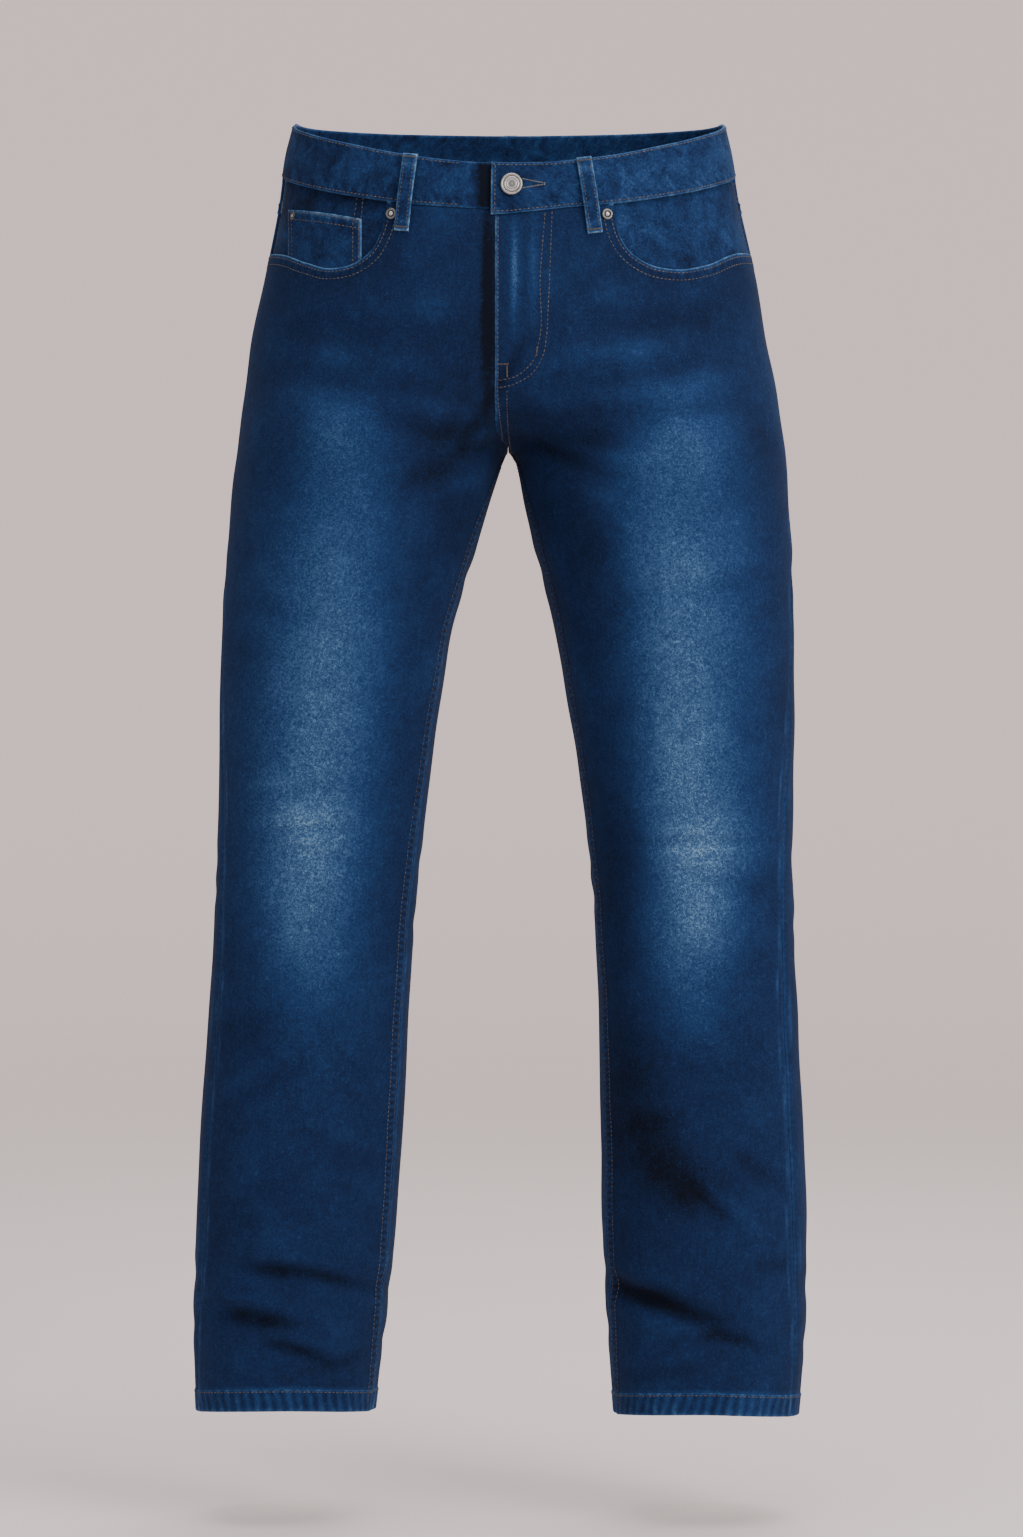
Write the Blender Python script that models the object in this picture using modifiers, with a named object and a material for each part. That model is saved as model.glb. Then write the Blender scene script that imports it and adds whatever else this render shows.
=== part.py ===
"""Straight leg jeans as worn, hollow, with five pockets, a zip fly and five belt loops.

Metres, +Z up. X runs across the jeans and the front faces -Y, so the wearer's right is at -X. The
origin is the middle of the waist opening, where the wearer holds the jeans up. Lengths in the tables
are millimetres. A height is measured from the origin, and an azimuth from the front.
"""

import math

import bmesh
import bpy
import numpy as np
from mathutils import Vector

MM = 0.001
RIGHT, LEFT = -1, 1  # the wearer's sides
FRONT, BACK = -1, 1

# The body of the jeans: where each side of a level section reaches. Above the crotch the inner
# columns only shape the crotch curve, where the two legs run into each other.
SECTION_COLUMNS = ("height", "right_outer", "right_inner", "left_inner", "left_outer", "front", "back")
SECTIONS = (
    (-1030, -251, -111.5, 84.5, 229, -55, 87),
    (-959, -254, -103, 79, 235.5, -56, 84),
    (-863, -252, -92, 74, 237.5, -58, 79),
    (-767, -247, -85, 72, 234, -63, 73),
    (-671, -240, -80, 70, 229, -70, 66),
    (-575, -234, -73, 64, 225, -81, 64),
    (-479, -232, -61, 52, 226, -91, 75),
    (-383, -230, -46, 35, 226, -100, 86),
    (-335, -227, -33, 24, 225, -104, 92),
    (-287, -223, -18, 12, 222, -107, 99),
    (-257, -220, -9.5, 7, 220, -110, 106),
    (-244, -218, -6, 4.5, 219, -111, 109),
    (-203, -213, 29, -33, 214, -114, 120),
    (-155, -207, 58, -60, 205, -118, 128),
    (-107, -197, 62, -62, 197, -118, 125),
    (-59, -187, 62, -62, 186, -115, 116),
    (-11, -180, 62, -62, 177, -111, 109),
    (45, -166, 62, -62, 166, -106, 103),
)
LEG_POWER = 2.2  # how square a section is, 2 being an ellipse
TORSO_POWER = 2.35
FIELD_SCALE = 0.1
CROTCH_BLEND = 0.006
TORSO_FROM, TORSO_TO = -0.235, -0.150  # heights between which the two legs become one torso
CENTRE_X = -0.0015
BEYOND = 0.4  # farther than any line from inside the jeans goes before it leaves them
HALVINGS = 36  # of a length, to find a point on the surface
SETTLING = 6  # rounds in which a height and the place that it depends on settle

# Where the long seams run, as angles about the middle of a leg: 0 faces the other leg, 90 the front.
SEAM_COLUMNS = ("height", "right_outseam", "left_outseam", "right_inseam", "left_inseam")
SEAMS = (
    (-1030, 160, 154, 16, 12),
    (-900, 157, 150, 20, 16),
    (-560, 157, 151, 21, 13),
    (-431, 162, 158, 20, 14),
    (-335, 168, 166, 17, 14),
    (-290, 171, 170, 14, 12),
    (-262, 173, 172, 6, 6),
    (-245, 174, 173, 0, 0),
    (-203, 175, 174, 0, 0),
    (45, 172, 172, 0, 0),
)

# Heights round the top: the rim, the seam under the waistband and the seam under the back yoke.
RIM_COLUMNS = ("azimuth", "rim", "waist_seam", "yoke_seam")
RIM = (
    (0, -25, -61, -52),
    (20, -23, -59, -52),
    (40, -16, -54, -52),
    (57, -5, -45, -52),
    (75, 10, -31, -52),
    (88, 20, -21, -52),
    (110, 25, -16, -57),
    (140, 27, -13, -69),
    (180, 27, -13, -88),
)

# The curved edge of each front pocket, from the waistband down and out to the outseam.
SCOOP_COLUMNS = ("across", "height")
SCOOPS = {
    RIGHT: ((-96, -56), (-97.5, -66), (-101, -78), (-109, -92), (-122, -101), (-140, -104),
            (-160, -98), (-177, -90)),
    LEFT: ((79.5, -56), (81, -67), (85, -81), (93, -93), (107, -102), (128, -105.5),
           (152, -101), (174, -90)),
}
SCOOP_END = -0.0835

# The largest folds: where each one crosses, how far it runs either way, how wide and deep it is and
# how it slopes, as rise for each unit across.
FOLD_COLUMNS = ("face", "across", "height", "reach", "width", "depth", "slope")
FOLD_FACING = (0.05, 0.6)  # how squarely the cloth faces front or back where a fold starts and is whole
FOLDS = (
    (FRONT, -177, -894, 50, 11, 5.0, -0.19),
    (FRONT, -209, -927, 34, 10, 3.5, -0.10),
    (FRONT, -172, -957, 32, 9, 3.5, -0.26),
    (FRONT, 127, -919, 48, 12, 6.0, -0.36),
    (FRONT, 168, -951, 32, 9, 3.5, -0.10),
    (FRONT, 160, -853, 24, 9, 2.0, -0.60),
    (FRONT, 62, -229, 45, 11, 2.5, 0.05),
    (BACK, -165, -600, 46, 14, 4.0, 0.22),
    (BACK, -160, -560, 40, 13, 3.0, -0.18),
    (BACK, 150, -585, 46, 14, 4.0, -0.20),
    (BACK, 145, -628, 38, 13, 3.0, 0.16),
    (BACK, -180, -905, 42, 11, 4.0, 0.12),
    (BACK, 160, -925, 44, 11, 4.0, -0.14),
)

CLOTH = 1.2 * MM
GAP = 0.3 * MM
MERGED = 0.01 * MM
SEAM_GAP = 0.5 * MM
HEM_HEIGHT = 17 * MM
HEM_CLOTH = 2.4 * MM
HEM_STEP = 1 * MM
HEM_LEVEL = {RIGHT: -1.0055, LEFT: -1.0085}
HEM_TILT = -0.092  # the back of a hem hangs lower than its front
HEM_REACH = 0.07  # from the middle of a leg to the front or back of its hem
LEG_LENGTH = 0.76

LAP_EDGE = -12 * MM  # the wearer's left front laps over the right one as far as this
LAP_LIFT = 1.6 * MM
LAP_FLAT, LAP_GONE = 4 * MM, 34 * MM
LAP_TURN, LAP_END = 48.0, 80.0  # degrees down the crotch curve between which the lap runs out
LAP_SINK = 9  # more degrees, in which its lift runs out
RISE_CENTRE = (-0.005, -0.150)  # y and z of the point that the crotch curve is drawn about
EDGE_WIDTH = 4.5 * MM  # of the strip beside the centre seam
EDGE_ANGLE = 4.0  # of the same strip where it runs down beside the inseam, in degrees
EDGE_COLUMNS = 2
GAP_ANGLE = 0.15

SHARP_ANGLE = 50  # degrees
HEM_ROWS, LEG_ROWS, BODY_ROWS = 9, 20, 12
FOLDED_PART = 0.14  # the share of the leg, from the hem, that the close rows cover
HEM_CLEAR = 1.3  # the close rows start above this many hem heights
CROTCH_ROWS = (0.006, 0.018)  # closer rows under the crotch, as shares of the leg
PLAIN_COLUMNS = 5  # of a front, before the pocket's edge
BACK_COLUMNS = 13
FITTED_FRONT, FITTED_BACK = (-0.300, -0.130), (-0.340, -0.240)  # where columns turn to the pockets' lines
EDGE_LEAVES = (-0.215, -0.170)  # heights between which the columns leave the crotch curve
TURN_TOP = {FRONT: -52, BACK: 232}  # turns past the top of each centre seam
TURN_STEPS = 285

BAND_OUT, BAND_CLOTH = 0.6 * MM, 2.8 * MM
BAND_ROWS, POCKET_ROWS = 4, 7
BAND_COLUMNS, BAND_UNDER_COLUMNS, BAND_OVER_COLUMNS = 64, 5, 6
BAND_HEIGHT = -0.042  # the waistband's middle at the fly
BAND_STEPS_BACK = (-0.050, -0.020)  # x between which the under end goes in behind the over end
BAND_FRONT = 0.1  # the greatest x, either way, of the two ends
BAND_UNDER = -0.8 * MM
BAND_UNDER_END = 22 * MM
BAND_OVER_END = -15 * MM
BAND_OVER = 2.5 * MM
OVER_DROP = 5 * MM  # the lapping end hangs this much lower at the waist seam
OVER_DROP_ENDS = (-30 * MM, 52 * MM)  # x between which that runs out

FACING_DEPTH = {RIGHT: 2.8 * MM, LEFT: 1.5 * MM}
FACING_FIRST = 3  # the front's column that the facing starts at
SCOOP_FOOT = 3  # the point of the scoop's edge where its low part starts
FACING_BELOW = 20 * MM
COIN_CLOTH = 1.0 * MM
COIN_SIDES, COIN_TOPS = (-0.117, -0.177), (-0.066, -0.052)  # inner and outer
COIN_BELOW = 14 * MM  # how far its foot is hidden behind the scoop's edge
COIN_SCOOP = 2  # the coin pocket's column where the scoop's edge starts

BACK_POCKET_CLOTH, POCKET_GAP = 1.2 * MM, 0.9 * MM
POCKET_ROW = 1.5 * MM  # the least distance between two of the pocket's rows
BACK_POCKET = {"top": -0.088, "side": -0.202, "point": -0.224}
BACK_POCKET_SIDES = ((0.034, 0.042), (0.160, 0.151))  # inner and outer x, at the top and at the foot
BACK_POCKET_COLUMNS = (3, 10)  # the back's columns that run down the pocket's sides

LOOP_WIDTH, LOOP_CLOTH = 11.6 * MM, 1.7 * MM
LOOP_ABOVE, LOOP_BELOW = 0.5 * MM, 22.5 * MM
LOOP_CLEAR, LOOP_ARCH = 0.5 * MM, 2.0 * MM
LOOP_SECTIONS = 13
LOOP_ON_BAND = (0.22, 0.34)  # shares of the loop between which it steps up on to the waistband
LOOP_FOLD, LOOP_FOLD_ENDS = 0.45, (0.09, 0.13)  # how much thicker its folded ends are, and where
LOOP_AZIMUTHS = {  # at the bottom and at the top
    "front_right": (-37.8, -36.3),
    "front_left": (30.2, 27.5),
    "side_right": (-99.0, -99.0),
    "side_left": (99.0, 99.0),
    "centre_back": (180.0, 180.0),
}

TURNED_STEPS = {"button": 28, "rivet": 18}
BUTTON_PLACE = (0.0008, -0.0425)
BUTTON_PROFILE = ((0, 0), (4.2, 0), (4.2, 1.1), (8.2, 1.1), (8.7, 1.5), (8.75, 2.2), (8.3, 2.8), (7.4, 3.1),
                  (6.7, 2.8), (6.0, 2.75), (5.4, 3.1), (3.4, 3.15), (2.9, 2.85), (0, 2.8))
RIVET_PROFILE = ((0, 0), (4.5, 0), (4.55, 0.5), (4.1, 1.0), (3.1, 1.15), (2.3, 0.8), (1.9, 0.8), (1.5, 1.5),
                 (0.7, 1.8), (0, 1.85))
RIVET_PLACES = {"scoop_right": (-0.0925, -0.0635, 0.0), "scoop_left": (0.0748, -0.0645, 0.0),
                "coin_pocket": (-0.1725, -0.0585, -0.0015)}
RIVET_SIZES = {"scoop_right": 1.0, "scoop_left": 1.0, "coin_pocket": 0.72}

ZIP_DEPTH, ZIP_CLOTH = 2.7 * MM, 1.0 * MM
ZIP_EDGES, ZIP_HEIGHTS = (-0.013, 0.017), (-0.068, -0.192)
SHIELD_DEPTH, SHIELD_CLOTH = 4.4 * MM, 1.2 * MM
SHIELD_EDGES, SHIELD_HEIGHTS = (-0.022, 0.024), (-0.067, -0.200)
FLY_COLUMNS, FLY_ROWS = 5, 9
SLIDER_PLACE = (0.0040, -0.078)
SLIDER_SIZE = (7.6 * MM, 13 * MM, 1.3 * MM)
SLIDER_ROUNDING = 0.35 * MM

FINISHES = {  # base colour, roughness, metallic
    "denim": ((0.024, 0.062, 0.155, 1.0), 0.88, 0.0),
    "denim_facing": ((0.016, 0.045, 0.120, 1.0), 0.90, 0.0),
    "pewter": ((0.36, 0.35, 0.34, 1.0), 0.42, 0.95),
    "zip_tape": ((0.020, 0.030, 0.060, 1.0), 0.85, 0.0),
    "zip_brass": ((0.45, 0.33, 0.15, 1.0), 0.40, 0.95),
}


# ---------------------------------------------------------------- curves and the body's surface


def column(table, names, name):
    """One column of a table, as an array in the table's own units."""
    return np.array([row[names.index(name)] for row in table], float)


def smoothstep(value, start, end):
    """0 at the start and 1 at the end, level at both."""
    share = np.clip((np.asarray(value, float) - start) / (end - start), 0, 1)
    return share * share * (3 - 2 * share)


def smooth_curve(at, knots, values):
    """A smooth curve through the knots, level beyond the first and the last."""
    slopes = np.gradient(values, knots)
    index = np.clip(np.searchsorted(knots, at) - 1, 0, len(knots) - 2)
    step = knots[index + 1] - knots[index]
    t = np.clip((at - knots[index]) / step, 0, 1)
    start = (1 + 2 * t) * (1 - t) ** 2 * values[index] + t * (1 - t) ** 2 * step * slopes[index]
    end = t * t * (3 - 2 * t) * values[index + 1] - t * t * (1 - t) * step * slopes[index + 1]
    return start + end


def section(height, name):
    """Where one side of the level section at a height lies, in metres."""
    knots = column(SECTIONS, SECTION_COLUMNS, "height") * MM
    return smooth_curve(height, knots, column(SECTIONS, SECTION_COLUMNS, name) * MM)


def seam_angle(side, height, name):
    """The angle of an outseam or an inseam about the middle of its leg, in degrees."""
    full = ("right_" if side == RIGHT else "left_") + name
    return smooth_curve(height, column(SEAMS, SEAM_COLUMNS, "height") * MM, column(SEAMS, SEAM_COLUMNS, full))


def rim_height(azimuth, name):
    """The height of the rim, the waist seam or the yoke seam at an azimuth in degrees."""
    turned = np.abs((np.asarray(azimuth, float) + 180) % 360 - 180)
    return smooth_curve(turned, column(RIM, RIM_COLUMNS, "azimuth"), column(RIM, RIM_COLUMNS, name) * MM)


def over_drop(x):
    """How far the waist seam of the lapping left front hangs below the right one's at an x."""
    return OVER_DROP * (1 - smoothstep(x, *OVER_DROP_ENDS))


def outside(x, y, low_x, high_x, front, back, power):
    """How far a point lies outside a rounded section, in metres near it, negative inside."""
    across = np.abs(x - (low_x + high_x) / 2) / ((high_x - low_x) / 2)
    along = np.abs(y - (front + back) / 2) / ((back - front) / 2)
    return FIELD_SCALE * ((across**power + along**power) ** (1 / power) - 1)


def field(points):
    """Negative inside the jeans' outer face: two legs that merge at the crotch into one torso."""
    x, y, z = np.moveaxis(points, -1, 0)
    front, back = section(z, "front"), section(z, "back")
    right_outer, left_outer = section(z, "right_outer"), section(z, "left_outer")
    right = outside(x, y, right_outer, section(z, "right_inner"), front, back, LEG_POWER)
    left = outside(x, y, section(z, "left_inner"), left_outer, front, back, LEG_POWER)
    nearer = np.minimum(right, left)
    legs = nearer - CROTCH_BLEND * np.log1p(np.exp(-np.abs(right - left) / CROTCH_BLEND))
    torso = outside(x, y, right_outer, left_outer, front, back, TORSO_POWER)
    share = smoothstep(z, TORSO_FROM, TORSO_TO)
    return legs * (1 - share) + torso * share


def normal_of(points):
    """The outward unit normal of the body at each point."""
    step = 0.4 * MM
    slopes = [field(points + step * axis) - field(points - step * axis) for axis in np.eye(3)]
    normal = np.stack(slopes, axis=-1)
    return normal / np.linalg.norm(normal, axis=-1, keepdims=True)


def exit_point(start, direction, limit):
    """The point where each ray leaves the body, or its end if it stays inside up to the limit."""
    near, far = np.zeros(np.shape(limit)), np.array(limit, float)
    for _ in range(HALVINGS):
        half = (near + far) / 2
        inside = field(start + direction * half[..., None]) < 0
        near, far = np.where(inside, half, near), np.where(inside, far, half)
    return start + direction * near[..., None]


def leg_centre(side, height):
    """The x and y of the point that angles on one half are measured about."""
    outer = section(height, "right_outer" if side == RIGHT else "left_outer")
    inner = section(height, "right_inner" if side == RIGHT else "left_inner")
    inner = np.where(side * inner > side * CENTRE_X, inner, CENTRE_X)
    return (outer + inner) / 2, (section(height, "front") + section(height, "back")) / 2


def around(side, angle, height):
    """Points of one half at an angle about its leg: 0 inwards, 90 front, 180 outwards, 270 back."""
    angle, height = np.broadcast_arrays(np.asarray(angle, float), np.asarray(height, float))
    x, y = leg_centre(side, height)
    turn = np.radians(angle)
    direction = np.stack([-side * np.cos(turn), -np.sin(turn), np.zeros_like(turn)], axis=-1)
    inward = np.maximum(np.cos(turn), 1e-6)
    limit = np.minimum(np.abs(x - CENTRE_X) / inward, BEYOND)
    return exit_point(np.stack([x, y, height], axis=-1), direction, limit)


def rise_point(x, turn):
    """Points near the centre seam: the turn is 0 at the front, 90 straight down and 180 at the back."""
    x, turn = np.broadcast_arrays(np.asarray(x, float), np.radians(turn))
    start = np.stack([x, np.full_like(x, RISE_CENTRE[0]), np.full_like(x, RISE_CENTRE[1])], axis=-1)
    direction = np.stack([np.zeros_like(turn), -np.cos(turn), -np.sin(turn)], axis=-1)
    return exit_point(start, direction, np.full(x.shape, BEYOND))


def torso_point(azimuth, height):
    """Points of the torso at an azimuth about the Z axis, 0 in front and positive to the left."""
    azimuth, height = np.broadcast_arrays(np.radians(azimuth), np.asarray(height, float))
    start = np.stack([np.zeros_like(height), np.zeros_like(height), height], axis=-1)
    direction = np.stack([np.sin(azimuth), -np.cos(azimuth), np.zeros_like(azimuth)], axis=-1)
    return exit_point(start, direction, np.full(height.shape, BEYOND))


def front_point(x, height):
    """Points of the front of the torso, straight ahead of x."""
    x, height = np.broadcast_arrays(np.asarray(x, float), np.asarray(height, float))
    start = np.stack([x, np.zeros_like(x), height], axis=-1)
    return exit_point(start, np.array([0.0, -1.0, 0.0]), np.full(x.shape, BEYOND))


def azimuth_of(points):
    """The azimuth of each point in degrees, positive to the left."""
    return np.degrees(np.arctan2(points[..., 0], -points[..., 1]))


def fold_depth(points, normals):
    """How far the folds press the cloth in at each point."""
    depth = np.zeros(points.shape[:-1])
    for row in FOLDS:
        fold = dict(zip(FOLD_COLUMNS, row))
        off_x = points[..., 0] - fold["across"] * MM
        off_z = points[..., 2] - fold["height"] * MM - fold["slope"] * off_x
        shown = smoothstep(fold["face"] * normals[..., 1], *FOLD_FACING)
        shape = np.exp(-((off_x / (fold["reach"] * MM)) ** 2) - (off_z / (fold["width"] * MM)) ** 2)
        depth += fold["depth"] * MM * shown * shape
    return depth


# ---------------------------------------------------------------- lines that the pieces share


def angle_of(side, face, points):
    """The angle of each point about its leg, just under 0 or over 360 past the inner side."""
    x, y = leg_centre(side, points[..., 2])
    angle = np.degrees(np.arctan2(y - points[..., 1], side * (x - points[..., 0])))
    return (angle + 90) % 360 - 90 if face == FRONT else (angle - 90) % 360 + 90


def edge_angles(side, face):
    """The front or back edge strip's inner line: its heights, low to high, and its leg angles."""
    turns = np.linspace(90 + 2 * face, TURN_TOP[face], TURN_STEPS)
    line = rise_point(CENTRE_X + side * EDGE_WIDTH, turns)
    order = np.argsort(line[:, 2])
    return line[order, 2], angle_of(side, face, line)[order]


class Half:
    """The lines of one half of the jeans that its pieces are cut along."""

    def __init__(self, side):
        self.side = side
        self.edges = {face: edge_angles(side, face) for face in (FRONT, BACK)}
        self.scoop_shares, self.scoop_heights = self.scoop_line()
        seam = int(self.scoop_shares.size) + PLAIN_COLUMNS - 1
        self.even = np.linspace(0, 1, seam + 1)
        inner = np.linspace(0, self.scoop_shares[0], PLAIN_COLUMNS + 1)[:-1]
        self.fitted = np.concatenate([inner, self.scoop_shares])

    def edge_angle(self, face, height):
        heights, angles = self.edges[face]
        return np.interp(height, heights, angles)

    def angle(self, face, share, height):
        """The leg angle of a share of the way from the edge strip to the outseam."""
        start = self.edge_angle(face, height)
        return start + (self.out_angle(face, height) - start) * share

    def out_angle(self, face, height):
        """The leg angle of a panel's outer edge."""
        return seam_angle(self.side, height, "outseam") + face * GAP_ANGLE

    def on(self, face, share, height):
        """Points of the front or back at a share of the way to the outseam."""
        share, height = np.broadcast_arrays(np.asarray(share, float), np.asarray(height, float))
        return around(self.side, self.angle(face, share, height), height)

    def share_between(self, x, height, start, out):
        """The share of the way from one leg angle to another at which the surface reaches x."""
        low, high = np.zeros(np.shape(height)), np.ones(np.shape(height))
        for _ in range(HALVINGS):
            middle = (low + high) / 2
            short = np.abs(around(self.side, start + (out - start) * middle, height)[..., 0]) < np.abs(x)
            low, high = np.where(short, middle, low), np.where(short, high, middle)
        return (low + high) / 2

    def share_at(self, face, x, height):
        """The share of the way from the edge strip to the outseam at which the surface reaches x."""
        return self.share_between(x, height, self.edge_angle(face, height), self.out_angle(face, height))

    def height_at(self, face, share, name, below=0.0):
        """The height of a seam round the top on each line of equal share."""
        share = np.asarray(share, float)
        height = np.full(share.shape, -0.05)
        for _ in range(SETTLING):
            points = self.on(face, share, height)
            height = rim_height(azimuth_of(points), name) - below
            if (self.side, face) == (LEFT, FRONT):
                height = height - over_drop(points[..., 0])
        return height

    def scoop_line(self):
        """The pocket's edge as shares of the way to the outseam and heights."""
        x = column(SCOOPS[self.side], SCOOP_COLUMNS, "across") * MM
        heights = column(SCOOPS[self.side], SCOOP_COLUMNS, "height") * MM
        shares = self.share_at(FRONT, x, heights)
        heights[0] = self.height_at(FRONT, shares[:1], "waist_seam", SEAM_GAP / 2)[0]
        return np.append(shares, 1.0), np.append(heights, SCOOP_END)

    def front_lines(self, height):
        """The shares of the front's columns at each height: fitted to the scoop above, even below."""
        return self.even + (self.fitted - self.even) * smoothstep(height, *FITTED_FRONT)

    def back_lines(self, height, start, out):
        """The shares of the back's columns at each height: along the pocket's sides above, even below."""
        size = BACK_POCKET
        shares = []
        for (top, foot), index in zip(BACK_POCKET_SIDES, BACK_POCKET_COLUMNS):
            level = height[..., index]
            down = np.clip((size["top"] - level) / (size["top"] - size["point"]), 0, 1)
            x = top + (foot - top) * down
            shares.append(self.share_between(x, level, start[..., index], out[..., index])[..., None])
        (inner, outer), (first, last) = shares, BACK_POCKET_COLUMNS
        index = np.arange(BACK_COLUMNS + 1)
        before = inner * index / first
        within = inner + (outer - inner) * (index - first) / (last - first)
        after = outer + (1 - outer) * (index - last) / (BACK_COLUMNS - last)
        fitted = np.where(index <= first, before, np.where(index <= last, within, after))
        even = index / BACK_COLUMNS
        return even + (fitted - even) * smoothstep(height, *FITTED_BACK)

    def lines(self, face, height, start, out):
        """The shares of a panel's columns at each height."""
        return self.front_lines(height) if face == FRONT else self.back_lines(height, start, out)

    def yoke_lines(self):
        """The shares of the yoke's columns, which carry on the back's."""
        level = np.full(BACK_COLUMNS + 1, BACK_POCKET["top"])
        return self.back_lines(level, self.edge_angle(BACK, level), self.out_angle(BACK, level))

    def top_line(self, face):
        """Heights along the top of the front or of the back, one for each column."""
        if face == BACK:
            return self.height_at(BACK, self.yoke_lines(), "yoke_seam", SEAM_GAP / 2)
        inner = self.height_at(FRONT, self.fitted[:PLAIN_COLUMNS], "waist_seam", SEAM_GAP / 2)
        return np.concatenate([inner, self.scoop_heights])


def lap_edge(turn):
    """The x of the left front's edge at a turn down the crotch curve."""
    own = CENTRE_X + SEAM_GAP / 2
    return own + (LAP_EDGE - own) * (1 - smoothstep(turn, LAP_TURN, LAP_END))


def lap_lift(points):
    """How far the left front is lifted over the right one."""
    x, y, z = np.moveaxis(points, -1, 0)
    turn = np.degrees(np.arctan2(RISE_CENTRE[1] - z, RISE_CENTRE[0] - y))
    across = 1 - smoothstep(x, LAP_FLAT, LAP_GONE)
    return LAP_LIFT * across * (1 - smoothstep(turn, LAP_END, LAP_END + LAP_SINK))


def centre_turns(half, face, drop=0.0):
    """Turns along the centre seam, evenly apart on the cloth from the crotch point to the top."""
    seam = "waist_seam" if face == FRONT else "yoke_seam"
    azimuth = 0 if face == FRONT else 180
    top = float(rim_height(azimuth, seam)) - SEAM_GAP / 2 - drop
    turns = np.linspace(90, TURN_TOP[face], TURN_STEPS)
    line = rise_point(np.full(turns.shape, CENTRE_X + half.side * EDGE_WIDTH), turns)
    length = np.concatenate([[0], np.cumsum(np.linalg.norm(np.diff(line, axis=0), axis=1))])
    above = np.arange(turns.size) > turns.size // 3
    end = np.interp(top, line[above, 2], length[above])
    return np.interp(np.linspace(0, end, BODY_ROWS + 1), length, turns)


def body_rows(half, face):
    """The panel's rows from the crotch up: the edge strip, then the columns to the outseam."""
    side = half.side
    own = CENTRE_X + side * SEAM_GAP / 2
    inner = CENTRE_X + side * EDGE_WIDTH
    if (side, face) == (LEFT, FRONT):
        turns = centre_turns(half, face, over_drop(inner))
        edge_turns = centre_turns(half, face, over_drop(LAP_EDGE))
        edge = lap_edge(edge_turns)
    else:
        turns = edge_turns = centre_turns(half, face)
        edge = np.full(turns.shape, own)
    strip = [rise_point(edge, edge_turns), rise_point((edge + inner) / 2, (edge_turns + turns) / 2)]
    first = rise_point(np.full(turns.shape, inner), turns)
    top = half.top_line(face)
    rise = np.linspace(0, 1, BODY_ROWS + 1)[:, None]
    share = np.linspace(0, 1, top.size)
    level = first[0, 2]
    plain = level + (top - level) * rise
    height = plain + (first[:, 2:] - plain[:, :1]) * (1 - share) ** 2
    upper = smoothstep(first[:, 2:], *EDGE_LEAVES)
    start = angle_of(side, face, first)[:, None]
    start = start + (half.edge_angle(face, height) - start) * upper
    out = half.out_angle(face, height)
    rest = around(side, start + (out - start) * half.lines(face, height, start, out), height)
    return np.concatenate([strip[0][:, None], strip[1][:, None], first[:, None], rest[:, 1:]], axis=1)


def leg_rows(half, face, columns):
    """The panel's rows from the hem up to the crotch, and how far each point is above the hem."""
    side = half.side
    close = np.linspace(0, FOLDED_PART, HEM_ROWS + 1)[1:]
    plain = np.concatenate([np.linspace(FOLDED_PART, 1, LEG_ROWS + 1)[1:], 1 - np.array(CROTCH_ROWS)])
    hem = HEM_HEIGHT / LEG_LENGTH
    step = hem + HEM_STEP / LEG_LENGTH
    rises = np.unique(np.concatenate([[0, hem, step], close[close > HEM_CLEAR * hem], plain]))[:-1]
    level = rise_point(np.array([CENTRE_X + side * EDGE_WIDTH]), 90.0)[0, 2]
    share = np.linspace(0, 1, columns - EDGE_COLUMNS)
    height = np.full((rises.size, share.size), level)
    for _ in range(SETTLING):
        middle = leg_centre(side, height)[1]
        bottom = HEM_LEVEL[side] + HEM_TILT * (middle + HEM_REACH * face * np.sin(np.pi * share))
        height = bottom + (level - bottom) * rises[:, None]
    turned = 0 if face == FRONT else 360
    start = turned + seam_angle(side, height, "inseam") - face * (GAP_ANGLE + EDGE_ANGLE)
    out = half.out_angle(face, height)
    main = around(side, start + (out - start) * half.lines(face, height, start, out), height)
    strip = [around(side, start[:, :1] + face * EDGE_ANGLE * part, height[:, :1]) for part in (1, 0.5)]
    above = np.concatenate([height[:, :1], height[:, :1], height], axis=1) - height[0, 0]
    return np.concatenate([*strip, main], axis=1), above


# ---------------------------------------------------------------- solids


def finish(name):
    """The material of a name, made once."""
    if name in bpy.data.materials:
        return bpy.data.materials[name]
    colour, roughness, metallic = FINISHES[name]
    material = bpy.data.materials.new(name)
    material.use_nodes = True
    shader = material.node_tree.nodes["Principled BSDF"]
    shader.inputs["Base Color"].default_value = colour
    shader.inputs["Roughness"].default_value = roughness
    shader.inputs["Metallic"].default_value = metallic
    material.diffuse_color = colour
    return material


def add_object(name, mesh, material):
    """Puts a mesh into the jeans' collection as a named object."""
    mesh.materials.append(finish(material))
    jeans_object = bpy.data.objects.new(name, mesh)
    bpy.data.collections["straight_leg_jeans"].objects.link(jeans_object)
    return jeans_object


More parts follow.
